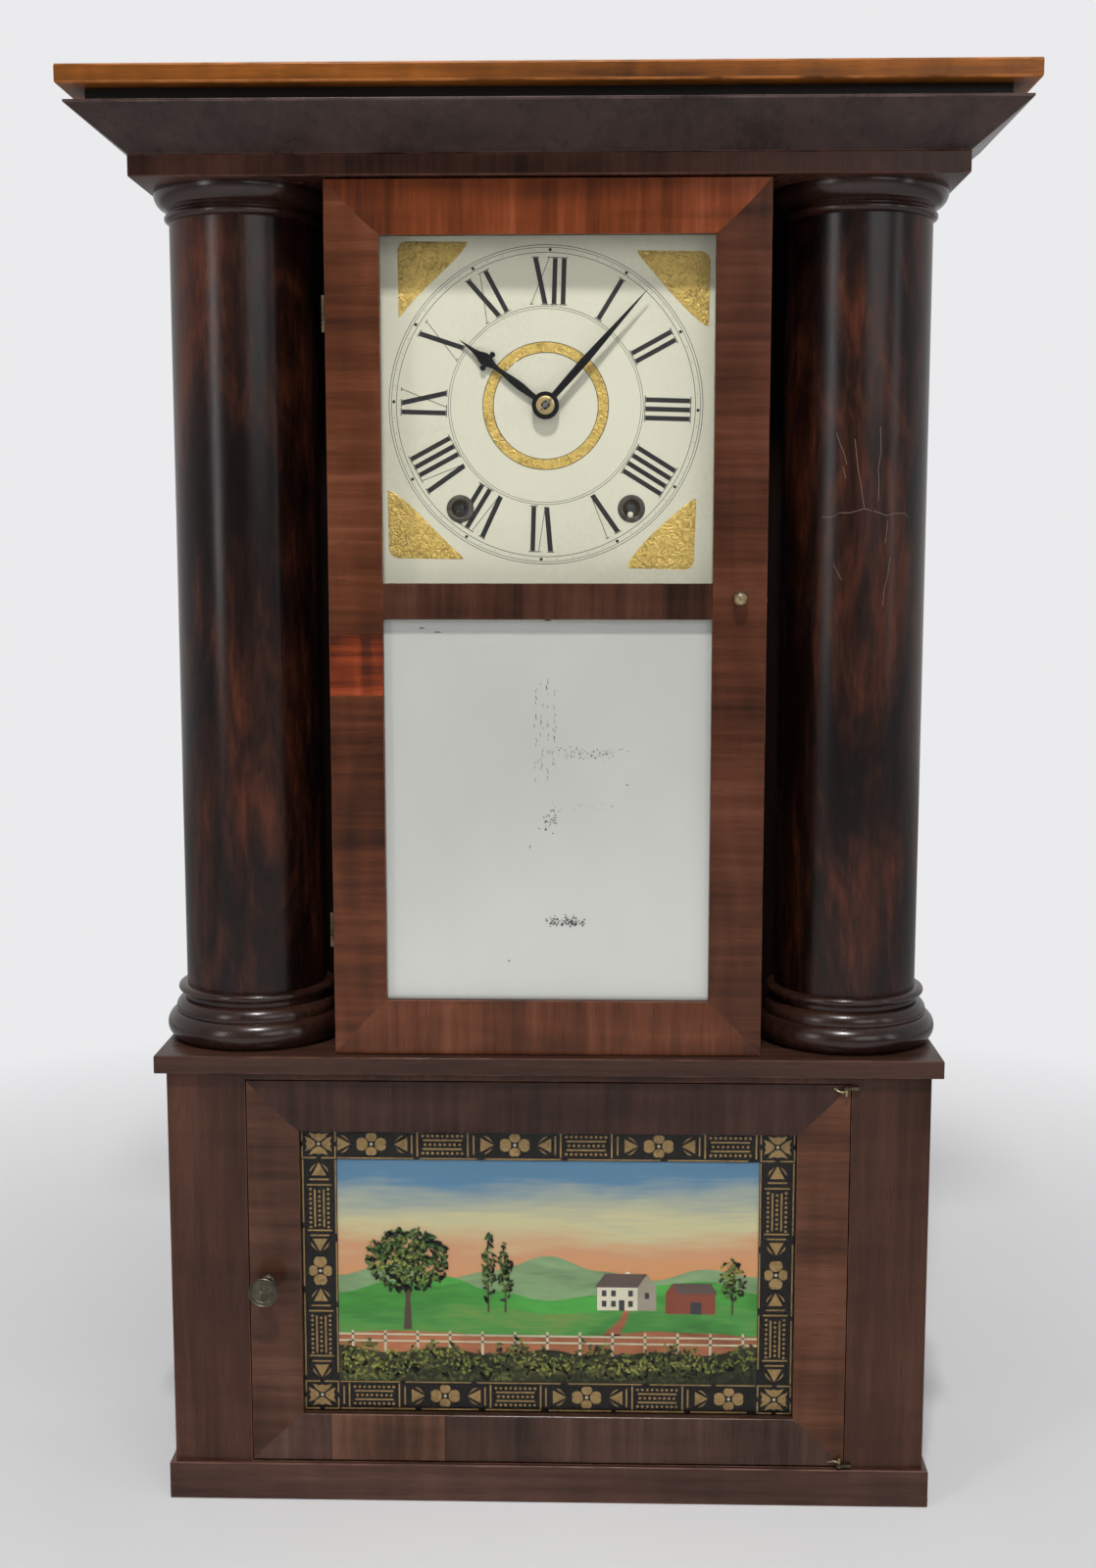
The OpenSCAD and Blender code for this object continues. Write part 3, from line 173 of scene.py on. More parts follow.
class ClockTablet(bpy.types.PropertyGroup):
    """Colours and sizes of the painted glass in the lower door."""

    border: colour_value("Border ground", "Black ground of the border", srgb(20, 17, 17))
    gilt: colour_value("Border gilt", "Ornament of the border", srgb(160, 128, 76))
    sky_high: colour_value("High sky", "Top of the sky", srgb(92, 132, 162))
    sky_mid: colour_value("Middle sky", "Middle of the sky", srgb(204, 196, 152))
    sky_low: colour_value("Low sky", "Sky over the hills", srgb(216, 150, 96))
    far_hill: colour_value("Far hills", "Hills furthest away", srgb(124, 150, 108))
    near_hill: colour_value("Near hills", "Meadow and nearer hills", srgb(70, 142, 60))
    road: colour_value("Road", "Track across the meadow", srgb(168, 104, 72))
    hedge: colour_value("Hedge", "Leaves in front", srgb(62, 66, 38))
    border_side: length_value("Border at the sides", "Width of the border", 23)
    border_top: length_value("Border above and below", "Height of the border", 20.3)


class ClockFittings(bpy.types.PropertyGroup):
    """Colours of metal, glass and cord."""

    brass: colour_value("Brass", "Hinges, knobs and grommets", (0.44, 0.34, 0.19))
    movement: colour_value("Movement brass", "Plates and wheels", (0.50, 0.36, 0.15))
    steel: colour_value("Steel", "Arbors, wires and axles", (0.36, 0.36, 0.37))
    blued: colour_value("Black steel", "Hands and gong", (0.012, 0.012, 0.014))
    iron: colour_value("Cast iron", "Weights", (0.07, 0.07, 0.075))
    cord: colour_value("Cord", "Weight cords", srgb(170, 150, 112))
    # Pale grey of the mirror, mostly not mirrored: it paints in the reflection of the pale room
    silver: colour_value("Silvering", "Mirror", (0.68, 0.69, 0.645))


class ClockStage(bpy.types.PropertyGroup):
    """Floor, light and camera."""

    floor: colour_value("Floor", "Floor near the clock", (0.96, 0.96, 0.97))
    background: colour_value("Background", "What lies behind the clock", (0.83, 0.83, 0.845))
    key_power: bpy.props.FloatProperty(
        name="Key lamp", description="Power of the lamp in front and above", unit="POWER", default=42)
    camera_lens: bpy.props.FloatProperty(
        name="Camera lens", description="Focal length for a 36 mm high picture", subtype="DISTANCE_CAMERA",
        default=42.38)


class Finish:
    """A material while its nodes are put together."""

    def __init__(self, name, colour=None, **values):
        self.material = bpy.data.materials.new(name)
        self.material.use_nodes = True
        self.tree = self.material.node_tree
        self.shader = self.tree.nodes["Principled BSDF"]
        self.out = self.tree.nodes["Material Output"]
        self.coords = self.tree.nodes.new("ShaderNodeTexCoord").outputs["Object"]
        self.shader.inputs["Specular IOR Level"].default_value = values.pop("specular", 0.4)
        if colour:
            self.shader.inputs["Base Color"].default_value = tuple(colour) + (1,)
        for key, value in values.items():
            self.shader.inputs[key.replace("_", " ").title()].default_value = value

    def add(self, kind, values, **settings):
        """Adds a node with its settings, feeds its inputs and gives its first output."""
        node = self.tree.nodes.new("ShaderNode" + kind)
        for key, value in settings.items():
            setattr(node, key, value)
        for key, value in values.items():
            if isinstance(value, bpy.types.NodeSocket):
                self.tree.links.new(value, node.inputs[key])
            else:
                node.inputs[key].default_value = value
        return node.outputs[0]

    def noise(self, scale, detail=3, rough=0.55, at=(0, 0, 0), bend=0):
        """Noise with its own number of features per metre along each axis."""
        place = self.add("Mapping", {"Vector": self.coords, "Scale": scale, "Location": at})
        return self.add("TexNoise", {
            "Vector": place, "Scale": 1, "Detail": detail, "Roughness": rough, "Distortion": bend})

    def sum(self, parts, middle=0.5):
        """Weighted sum of noises, centred on a middle value."""
        total = middle - 0.5 * sum(weight for _, weight in parts)
        for socket, weight in parts:
            total = self.add("Math", {0: socket, 1: weight, 2: total}, operation="MULTIPLY_ADD")
        return total

    def above(self, socket, start, stop):
        """0 below start, 1 above stop."""
        return self.add("MapRange", {"Value": socket, "From Min": start, "From Max": stop})

    def ramp(self, socket, stops):
        node = self.tree.nodes.new("ShaderNodeValToRGB")
        self.tree.links.new(socket, node.inputs[0])
        items = node.color_ramp.elements
        while len(items) < len(stops):
            items.new(0.5)
        for item, (place, colour) in zip(items, stops):
            item.position = place
            item.color = tuple(colour)[:3] + (1,)
        return node.outputs[0]

    def blend(self, factor, first, second):
        """Mix of two colours, each a socket or a plain colour."""
        first, second = (c if isinstance(c, bpy.types.NodeSocket) else tuple(c)[:3] + (1,)
                         for c in (first, second))
        self.add("Mix", {0: factor, 6: first, 7: second}, data_type="RGBA")
        return self.tree.nodes[-1].outputs[2]

    def length(self, vector):
        self.add("VectorMath", {0: vector}, operation="LENGTH")
        return self.tree.nodes[-1].outputs["Value"]

    def over(self, factor, other):
        """Lays another shader over the finish, as far as the factor says."""
        both = self.add("MixShader", {0: factor, 1: self.shader.outputs[0], 2: other})
        self.tree.links.new(both, self.out.inputs[0])

    def set(self, socket, value):
        self.tree.links.new(value, self.shader.inputs[socket])
        return self

    def named(self, attribute):
        """A value stored on the mesh's faces."""
        self.add("Attribute", {}, attribute_name=attribute)
        return self.tree.nodes[-1].outputs["Fac"]

    def bump(self, height, depth, strength=0.5):
        """Relief of the given depth in millimetres."""
        node = self.add("Bump", {"Height": height, "Distance": depth * MM, "Strength": strength})
        return self.set("Normal", node)


def shade(colour, factor, pull=0.0):
    """A colour made darker or lighter, pulled towards grey by pull."""
    grey = sum(colour) / 3
    return tuple(min(1.0, (c + (grey - c) * pull) * factor) for c in colour)


def along(grain, fine, across):
    """Features per metre: few along the grain axis, many across it."""
    return tuple(fine if axis == grain else across for axis in "XYZ")


def wood(name, colour, grain="X", figure=0.35, spread=1.0, rough=0.34, ripple=55, at=0.0, bare=False):
    """Polished wood with bands, streaks, pores, a ripple across the grain, and edges lighter in patches:
    wear, and partly a painted highlight where the edges catch light.
    """
    f = Finish(name, specular=0.15 if bare else 0.22)
    colour = shade(colour, 0.82, -0.16)
    place = (at, at * 0.7, at * 1.3)
    band = f.noise(along(grain, 3.0, 24), 2, at=place, bend=0.4)
    streak = f.noise(along(grain, 8, 170), 4, 0.62, at=place)
    pore = f.noise(along(grain, 60, 1500), 2, 0.6)
    cross = f.noise(along(grain, ripple, 11), 2, 0.5, at=place, bend=0.6)
    blotch = f.noise((9, 9, 9), 3, at=place)
    value = f.sum([(band, 1.1 * spread), (streak, 0.95 * spread), (cross, figure * 2 * spread),
                   (blotch, 0.7 * spread)])
    tone = f.ramp(value, [
        (0.12, shade(colour, 0.32, 0.15)), (0.4, shade(colour, 0.78)), (0.58, shade(colour, 1.12)),
        (0.85, shade(colour, 1.75, 0.08))])
    open_pore = f.above(pore, 0.56, 0.72)
    dark = f.add("Math", {0: open_pore, 1: 0.55}, operation="MULTIPLY")
    tone = f.blend(dark, tone, shade(colour, 0.22, 0.2))
    # Marked edges turn lighter in patches: wear, and partly a painted highlight of edges catching the light
    patchy = f.above(f.noise((38, 38, 38), 3), 0.36, 0.6)
    worn_and_lit = f.add("Math", {0: f.named("edge_wear_light"), 1: patchy}, operation="MULTIPLY")
    tone = f.blend(worn_and_lit, tone, shade(colour, 2.3, 0.1))
    f.set("Base Color", tone)
    rub = f.sum([(streak, 0.16), (blotch, 0.24), (open_pore, 0.12)], rough)
    f.set("Roughness", rub)
    relief = f.sum([(streak, 0.5), (pore, -0.35), (band, 0.9)])
    f.bump(relief, 0.16 if bare else 0.07, 0.6)
    return f.material


def crotch_mahogany(name, colour):
    """Glossy mahogany with mottled red flames running up the column."""
    f = Finish(name, specular=0.32)
    drift = f.noise((7, 7, 5), 2, at=(1, 2, 3))
    flame = f.noise((30, 30, 9), 4, 0.6, at=(4, 1, 2), bend=1.1)
    feather = f.noise((130, 130, 22), 3, 0.6, bend=0.6)
    fine = f.noise((420, 420, 60), 2)
    value = f.sum([(drift, 1.0), (flame, 2.0), (feather, 0.8), (fine, 0.3)], 0.44)
    tone = f.ramp(value, [
        (0.16, shade(colour, 0.16, 0.2)), (0.42, shade(colour, 0.45)), (0.62, shade(colour, 0.95, -0.05)),
        (0.92, shade(colour, 2.2, -0.12))])
    f.set("Base Color", tone)
    f.set("Roughness", f.sum([(drift, 0.14), (fine, 0.1)], 0.27))
    f.bump(f.sum([(f.noise((16, 16, 5), 2), 1.2), (fine, 0.12)]), 0.35, 0.5)
    return f.material


def turned_wood(name, colour, flat=0.3):
    """Dark turned wood, rubbed bright in patches."""
    f = Finish(name, specular=0.5)
    rings = f.noise((14, 14, 160), 3, bend=0.3)
    fleck = f.noise((260, 260, 260), 3)
    blotch = f.noise((22, 22, 22), 3)
    value = f.sum([(rings, 0.9), (fleck, 0.5), (blotch, 1.1)])
    tone = f.ramp(value, [(0.15, shade(colour, 0.35)), (0.5, colour), (0.88, shade(colour, 1.9, 0.1))])
    f.set("Base Color", tone)
    f.set("Roughness", f.sum([(blotch, 0.25), (fleck, 0.1)], flat))
    f.bump(f.sum([(rings, 0.5), (fleck, 0.4)]), 0.08, 0.5)
    return f.material


def metal(name, colour, rough=0.35, tarnish=0.5, brushed=None, arbor=None):
    """Metal with tarnish in patches and fine scratches.

    The arbor is the x, z, radius and colour of a part of other metal.
    """
    f = Finish(name, metallic=1.0, specular=0.5)
    patch = f.noise((130, 130, 130), 4, 0.6)
    scratch = f.noise(brushed or (1400, 300, 1400), 2)
    dull = f.above(f.sum([(patch, 1.6), (scratch, 0.3)]), 0.3, 0.8)
    tone = f.blend(dull, shade(colour, 1 - tarnish, 0.15), shade(colour, 1.15))
    if arbor:
        x, z, r, other = arbor
        place = f.add("VectorMath", {0: f.coords, 1: (x * MM, 0, z * MM)}, operation="SUBTRACT")
        away = f.length(f.add("VectorMath", {0: place, 1: (1, 0, 1)}, operation="MULTIPLY"))
        tone = f.blend(f.above(away, (r - 0.05) * MM, (r + 0.05) * MM), other, tone)
    f.set("Base Color", tone)
    f.set("Roughness", f.sum([(patch, -0.35), (scratch, 0.2)], rough))
    f.bump(f.sum([(patch, 0.5), (scratch, 0.5)]), 0.05, 0.5)
    return f.material


def painted(name, colour, rough=0.45, stain=0.12, scale=60, relief=0.04, lift=1.05, gloss=0.35):
    """Old paint, slightly stained and uneven."""
    f = Finish(name, specular=gloss)
    cloud = f.noise((scale * 0.25,) * 3, 3)
    speck = f.noise((scale * 9,) * 3, 3, 0.65)
    value = f.sum([(cloud, 1.2), (speck, 0.9)])
    f.set("Base Color", f.ramp(value, [
        (0.1, shade(colour, 1 - 2 * stain, -0.1)), (0.5, colour), (0.9, shade(colour, lift))]))
    f.set("Roughness", f.sum([(speck, 0.2)], rough))
    f.bump(f.sum([(cloud, 0.8), (speck, 0.25)]), relief, 0.5)
    return f.material


def clear_glass(name, bend=1.46):
    """Old window glass, slightly wavy, which lets lamp light through."""
    f = Finish(name, (0.98, 1.0, 0.99), specular=0.5, transmission_weight=1.0, roughness=0.01)
    f.shader.inputs["IOR"].default_value = bend
    f.bump(f.noise((7, 7, 11), 1), 0.25, 0.4)
    ray = f.tree.nodes.new("ShaderNodeLightPath").outputs
    through = f.add("Math", {0: ray["Is Shadow Ray"], 1: ray["Is Diffuse Ray"]}, operation="MAXIMUM")
    f.over(through, f.add("BsdfTransparent", {}))
    return f.material


def silvering(name, colour):
    """Thin old silvering, half mirror and half pale grey colour, which is a painted reflection of the pale
    room, uneven in hazy patches.
    """
    f = Finish(name, metallic=0.25, specular=0.5)
    haze = f.noise((9, 9, 6), 3)
    speck = f.noise((900, 900, 900), 2)
    # Pale grey diffuse colour in place of most of the reflection: a painted reflection of the pale room, a
    # little uneven in hazy patches
    f.set("Base Color", f.blend(f.above(haze, 0.3, 0.7), shade(colour, 0.93), shade(colour, 1.04)))
    f.set("Roughness", f.sum([(haze, 0.1), (speck, 0.05)], 0.16))
    f.bump(haze, 0.1, 0.3)
    return f.material


def gilding(name, colour):
    """Gold paint, thin and rubbed in places, with painted shade in its creases and painted highlights on its
    ridges.
    """
    f = Finish(name, metallic=0.5, specular=0.5)
    cloud = f.noise((45, 45, 45), 4, 0.65)
    grain = f.noise((900, 900, 900), 2)
    crinkle_shade_and_glint = f.noise((280, 280, 280), 3, 0.6, bend=1.6)
    value = f.sum([(cloud, 0.9), (grain, 0.4), (crinkle_shade_and_glint, 1.7)])
    # Darker in the creases and lighter on the ridges of the crinkle: painted shade and painted highlights,
    # with some real unevenness of the gold
    f.set("Base Color", f.ramp(value, [
        (0.15, shade(colour, 0.55)), (0.45, colour), (0.85, shade(colour, 1.25, 0.1))]))
    f.set("Roughness", f.sum([(grain, 0.2)], 0.48))
    f.bump(f.sum([(cloud, 0.4), (grain, 0.25), (crinkle_shade_and_glint, 1.2)]), 0.9, 1.0)
    return f.material


def cast_iron(name, colour):
    """Sandy casting with rust in patches."""
    f = Finish(name, metallic=0.7, specular=0.4)
    sand = f.noise((900, 900, 900), 3, 0.6)
    rust = f.noise((40, 40, 40), 4)
    f.set("Base Color", f.blend(f.above(rust, 0.5, 0.72), colour, (0.09, 0.045, 0.025)))
    f.set("Roughness", f.sum([(sand, 0.2)], 0.6))
    f.bump(sand, 0.25, 0.7)
    return f.material


def cotton(name, colour):
    """Fibres of a twisted cord, dirty in places."""
    f = Finish(name, specular=0.15, roughness=0.85, sheen_weight=0.3)
    fibre = f.noise((2500, 2500, 700), 3)
    dirt = f.noise((30, 30, 30), 3)
    f.set("Base Color", f.ramp(f.sum([(fibre, 0.8), (dirt, 0.9)]), [
        (0.15, shade(colour, 0.45)), (0.5, colour), (0.9, shade(colour, 1.3))]))
    f.bump(fibre, 0.12, 0.8)
    return f.material


def own(key, make, *values, **settings):
    """The named finish, made the first time it is asked for."""
    return bpy.data.materials.get(key) or make(key, *values, **settings)


def skin(bm, rings, joined=False):
    """Closed skin over rings of points, capped at both ends or joined end to end."""
    rows = [[bm.verts.new(p) for p in ring] for ring in rings]
    count = len(rows[0])
    for a, b in zip(rows, rows[1:] + rows[:1] if joined else rows[1:]):
        for i in range(count):
            j = (i + 1) % count
            bm.faces.new((a[i], a[j], b[j], b[i]))
    if not joined:
        bm.faces.new(rows[0][::-1])
        bm.faces.new(rows[-1])


def prism(bm, outline, front, back):
    """Upright plate from an outline in x and z."""
    skin(bm, [[(x, y, z) for x, z in outline] for y in (front, back)])


def turned(bm, profile, centre, axis, steps):
    """Solid turned from a closed profile of radius and height about an axis along Y or Z."""
    cx, cy, cz = centre
    rings = []
    for k in range(steps):
        c, s = math.cos(2 * math.pi * k / steps), math.sin(2 * math.pi * k / steps)
        if axis == "Z":
            rings.append([(cx + r * c, cy + r * s, cz + h) for r, h in profile])
        else:
            rings.append([(cx + r * c, cy + h, cz + r * s) for r, h in profile])
    skin(bm, rings, joined=True)


def arc(cx, cy, r, start, stop, count):
    """Points of an arc in degrees, both ends included."""
    return [(cx + r * math.cos(math.radians(mid(start, stop, i / count))),
             cy + r * math.sin(math.radians(mid(start, stop, i / count)))) for i in range(count + 1)]


def oval(cx, cz, rx, rz, count=10):
    return [(cx + rx * math.cos(2 * math.pi * k / count), cz + rz * math.sin(2 * math.pi * k / count))
            for k in range(count)]


def leaf(cx, cz, length, width, degrees, count=4):
    """Pointed oval about a centre."""
    c, s = math.cos(math.radians(degrees)), math.sin(math.radians(degrees))
    half = [(length * (k / count - 0.5), width / 2 * math.sin(math.pi * k / count)) for k in range(count + 1)]
    outline = half + [(a, -b) for a, b in half[-2:0:-1]]
    return [(cx + a * c - b * s, cz + a * s + b * c) for a, b in outline]


def rect(x0, z0, x1, z1):
    return [(x0, z0), (x1, z0), (x1, z1), (x0, z1)]


def post(x, low, high, foot, head):
    """Upright with one half width at its foot and another at its head."""
    return [(x - foot, low), (x + foot, low), (x + head, high), (x - head, high)]


def swept(bm, path, section):
    """Section, a function of place along the path, carried along a path of points."""
    points = [Vector(p) for p in path]
    side = Vector((0, 1, 0))
    rings = []
    run = 0.0
    for i, p in enumerate(points):
        ahead = (points[min(i + 1, len(points) - 1)] - points[max(i - 1, 0)]).normalized()
        side = (side - ahead * side.dot(ahead)).normalized()
        up = ahead.cross(side)
        if i:
            run += (p - points[i - 1]).length
        rings.append([tuple(p + side * a + up * b) for a, b in section(run)])
    skin(bm, rings)


def ease_edges(bm, edges, width, steps=2, edge_wear_light=None):
    """Rounds edges and marks the rounding, which the wood paints lighter as wear and as painted highlight."""
    if not edges:
        return
    made = bmesh.ops.bevel(bm, geom=edges, offset=width, segments=steps, profile=0.6, affect="EDGES",
                           clamp_overlap=True)
    if edge_wear_light:
        for face in made["faces"]:
            face[edge_wear_light] = 1.0


def piece(name, bm, finishes, body, replaces=(), smooth=35):
    """Makes the mesh an object that rides on its body."""
    bmesh.ops.remove_doubles(bm, verts=bm.verts, dist=0.0004)
    bmesh.ops.dissolve_degenerate(bm, edges=bm.edges, dist=0.0002)
    bmesh.ops.recalc_face_normals(bm, faces=bm.faces)
    bmesh.ops.scale(bm, vec=(MM, MM, MM), verts=bm.verts)
    mesh = bpy.data.meshes.new(name)
    for face in bm.faces:
        face.smooth = True
    bm.to_mesh(mesh)
    bm.free()
    for finish in finishes if isinstance(finishes, (list, tuple)) else [finishes]:
        mesh.materials.append(finish)
    mesh.set_sharp_from_angle(angle=math.radians(smooth))
    made = bpy.data.objects.new(name, mesh)
    bpy.context.scene.collection.objects.link(made)
    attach(made, body)
    if replaces:
        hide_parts(*replaces)
    return made


def dress(node, finish):
    """Gives a frame node its finish."""
    made = frame["nodes"][node]
    if not made.material_slots:
        made.data.materials.append(finish)
    for place in made.material_slots:
        place.material = finish


def copied(node):
    """Mesh of a frame node in millimetres, with flat faces whole again."""
    bm = bmesh.new()
    bm.from_mesh(frame["nodes"][node].data)
    bmesh.ops.scale(bm, vec=(1 / MM, 1 / MM, 1 / MM), verts=bm.verts)
    bmesh.ops.remove_doubles(bm, verts=bm.verts, dist=0.002)
    bmesh.ops.dissolve_limit(bm, angle_limit=math.radians(1), verts=bm.verts, edges=bm.edges)
    return bm


def long_edges(bm):
    """Outer edges of the wood that hands and dusters rub and that catch the light, both painted lighter on
    their rounding.
    """
    least = 30
    return [e for e in bm.edges if e.is_manifold and e.calc_length() > least
            and e.calc_face_angle_signed() > math.radians(25)]


def board(node, finish, rounding, second=None, turned_to=None, extra=None):
    """Copy of a wooden node with edges painted lighter, as wear and as painted highlight, and, where given, a
    second finish on faces turned one way.
    """
    bm = copied(node)
    edge_wear_light = bm.faces.layers.float.new("edge_wear_light")
    if extra:
        extra(bm)
    ease_edges(bm, long_edges(bm), rounding, 2, edge_wear_light)
    finishes = [finish]
    if second:
        finishes.append(second)
        bm.normal_update()
        for face in bm.faces:
            if turned_to(face.normal):
                face.material_index = 1
    return piece(node + "_wood", bm, finishes, frame["nodes"][node]["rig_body"], [node])


class ClockStep(bpy.types.Operator):
    """Shared settings of the clock's operators."""

    bl_options = {"REGISTER", "UNDO"}


class CLOCK_OT_stage(ClockStep):
    """Pale floor, soft lamps, world and camera"""

    bl_idname = "clock.stage"
    bl_label = "Stage"

    # Name, place, target, power and size of each lamp, in metres and watts; the key lamp's power is a setting
    lamps = (
        ("key_lamp", (0.0, -1.42, 2.70), (0, 0, 0.5), None, (0.24, 0.24)),
        ("left_strip", (-1.40, -1.52, 0.95), (0, 0, 0.5), 5.5, (0.34, 1.0)),
        ("right_strip", (1.75, -1.05, 0.95), (0, 0, 0.5), 2.2, (0.30, 1.0)),
        ("front_fill", (1.3, -2.6, 1.5), (0, 0, 0.45), 13, (1.6, 1.2)),
    )

    # Where the camera stands, in metres, and how far it looks down and to the left, in degrees
    camera_place = (0.02954, -1.17515, 0.61105)
    camera_down, camera_left = 7.159, 1.468

    # Radius of the ground, and how far it lies below the clock's feet
    floor_radius, floor_drop = 4, 0.0002

    def execute(self, context):
        stage = context.scene.clock_stage
        self.floor(stage)
        self.world(context.scene, stage)
        for name, place, target, power, size in self.lamps:
            self.lamp(name, place, target, power or stage.key_power, size)
        self.camera(context.scene, stage)
        return {"FINISHED"}

    def floor(self, stage):
        """Pale ground, which the camera sees turn into the background away from the clock."""
        bm = bmesh.new()
        bmesh.ops.create_circle(bm, cap_ends=True, radius=self.floor_radius, segments=96)
        mesh = bpy.data.meshes.new("floor")
        bm.to_mesh(mesh)
        bm.free()
        floor = bpy.data.objects.new("floor", mesh)
        floor.location.z = -self.floor_drop
        bpy.context.scene.collection.objects.link(floor)
        f = Finish("pale_floor", specular=0.1, roughness=0.8)
        cloud = f.noise((5, 5, 5), 3)
        pale, paler = shade(stage.floor, 0.97), shade(stage.floor, 1.02)
        f.set("Base Color", f.blend(f.above(cloud, 0.2, 0.8), pale, paler))
        distance = f.length(f.coords)
        ray = f.tree.nodes.new("ShaderNodeLightPath").outputs
        seen = f.add("Math", {0: f.above(distance, 0.3, 1.2), 1: ray["Is Camera Ray"]}, operation="MULTIPLY")
        f.over(seen, f.add("Emission", {0: tuple(stage.background) + (1,)}))
        mesh.materials.append(f.material)

    def world(self, scene, stage):
        """Dim light all round, brighter behind for reflections, and a plain background for the camera."""
        world = bpy.data.worlds.new("studio")
        scene.world = world
        world.use_nodes = True
        tree = world.node_tree
        tree.nodes.clear()
        coords, split, front, ray, sharp, level, plain, seen, both, out = (
            tree.nodes.new("ShaderNode" + kind) for kind in (
                "TexCoord", "SeparateXYZ", "MapRange", "LightPath", "Math", "Mix", "Background", "Background",
                "MixShader", "OutputWorld"))
        for key, value in (("From Min", -0.75), ("From Max", 0.0), ("To Min", 0.24), ("To Max", 0.8)):
            front.inputs[key].default_value = value
        level.inputs[2].default_value = 0.19
        seen.inputs["Color"].default_value = tuple(stage.background) + (1,)
        for source, target in (
                (coords.outputs["Generated"], split.inputs[0]), (split.outputs["Y"], front.inputs["Value"]),
                (ray.outputs["Is Glossy Ray"], sharp.inputs[0]),
                (ray.outputs["Is Transmission Ray"], sharp.inputs[1]),
                (sharp.outputs[0], level.inputs[0]), (front.outputs[0], level.inputs[3]),
                (level.outputs[0], plain.inputs["Strength"]), (ray.outputs["Is Camera Ray"], both.inputs[0]),
                (plain.outputs[0], both.inputs[1]), (seen.outputs[0], both.inputs[2]),
                (both.outputs[0], out.inputs[0])):
            tree.links.new(source, target)
        scene.view_settings.view_transform = "Standard"

    def lamp(self, name, place, target, power, size):
        data = bpy.data.lights.new(name, "AREA")
        data.shape = "RECTANGLE"
        data.size, data.size_y = size
        data.energy = power
        lamp = bpy.data.objects.new(name, data)
        lamp.location = place
        lamp.rotation_euler = (Vector(target) - Vector(place)).to_track_quat("-Z", "Y").to_euler()
        bpy.context.scene.collection.objects.link(lamp)

    def camera(self, scene, stage):
        data = bpy.data.cameras.new("camera")
        data.sensor_fit = "VERTICAL"
        data.sensor_height = 36
        data.lens = stage.camera_lens
        data.clip_start = 0.05
        camera = bpy.data.objects.new("camera", data)
        camera.location = self.camera_place
        camera.rotation_euler = (math.radians(90 - self.camera_down), 0, math.radians(self.camera_left))
        scene.collection.objects.link(camera)
        scene.camera = camera


class CLOCK_OT_case(ClockStep):
    """Boards of the case: cap, cornice, frieze, plinth, lower case, trunk and back"""

    bl_idname = "clock.case"
    bl_label = "Case boards"

    # Nails across the lower boards and across the top board, and how far the others sit from an edge
    low_nails, top_nails = (-232, -80, 80, 232), (-215, -75, 75, 215)
    nail_up, nail_in = 14, 6

    def execute(self, context):
        w = context.scene.clock_woods
        dark = "mahogany_dark"
        boards = (
            ("cap_board", "cap_wood", w.cap, "X", 0.2, 1.05, 0.4, "light_wood", 1.3),
            ("cornice", "cornice_wood", w.cornice, "Z", 0.3, 0.6, 0.36, dark, 0.5),
            ("frieze_board", "frieze_wood", w.frieze, "Z", 0.3, 0.8, 0.33, dark, 0.9),
            ("plinth_board", "plinth_wood", w.plinth, "X", 0.15, 0.7, 0.3, dark, 0.8),
            ("base_front", "stile_wood", w.base, "Z", 0.2, 0.7, 0.32, dark, 0.4),
            ("base_carcass", "carcass_wood", w.base, "Z", 0.2, 0.7, 0.4, dark, 0.4),
            ("base_skirt", "skirt_wood", w.skirt, "X", 0.15, 0.8, 0.3, dark, 0.8),
            ("trunk_sides", "trunk_wood", w.trunk, "Z", 0.2, 0.7, 0.4, dark, 0.4),
        )
        for at, (node, key, colour, grain, figure, spread, rough, slot, rounding) in enumerate(boards, 1):
            board(node, own(key, wood, colour, grain, figure, spread, rough, at=at), rounding)
        dress("cap_cleats", own("cleat_wood", wood, w.cleats, "X", 0.1, 0.7, 0.5))
        pine = own("pine_wood", wood, w.pine, "Z", 0.08, 0.6, 0.62, 30, 9, bare=True)
        # Front faces of the back boards, inside the case, get a much darker copy of the trunk's colour:
        # painted shade
        front_shade = own("stained_board", wood, shade(w.trunk, 0.3), "Z", 0.1, 0.5, 0.7, bare=True)
        board("back_boards", pine, 0.4, front_shade, turned_to=lambda normal: normal.y < -0.7)
        for node in ("inner_framing", "gong_base", "mirror_back"):
            dress(node, pine)
        self.nails(context)
        return {"FINISHED"}

    def nails(self, context):
        """Cut nails through the three back boards into the case."""
        _, (_, back, top) = node_box("back_boards")
        (x0, _, low), (x1, _, high) = node_box("trunk_sides")
        up, into = self.nail_up, self.nail_in
        lower_top = node_box("plinth_board")[0][2] - 11
        spots = [(x, z) for z in (12, lower_top) for x in self.low_nails]
        spots += [(x, z) for z in (low + up, mid(low, high), high - up) for x in (x0 + into, x1 - into)]
        spots += [(x, top - up) for x in self.top_nails]
        bm = bmesh.new()
        chance = random.Random(5)
        for x, z in spots:
            x, z = x + chance.uniform(-3, 3), z + chance.uniform(-4, 4)
            r = chance.uniform(1.9, 2.4)
            corners = [math.pi / 4 * k + chance.uniform(-0.2, 0.2) for k in range(8)]
            head = [(x + r * math.cos(a), z + r * 0.75 * math.sin(a)) for a in corners]
            prism(bm, head, back - 0.6, back - 0.02)
        iron = own("old_iron", cast_iron, context.scene.clock_fittings.iron)
        piece("nail_heads", bm, iron, "case")


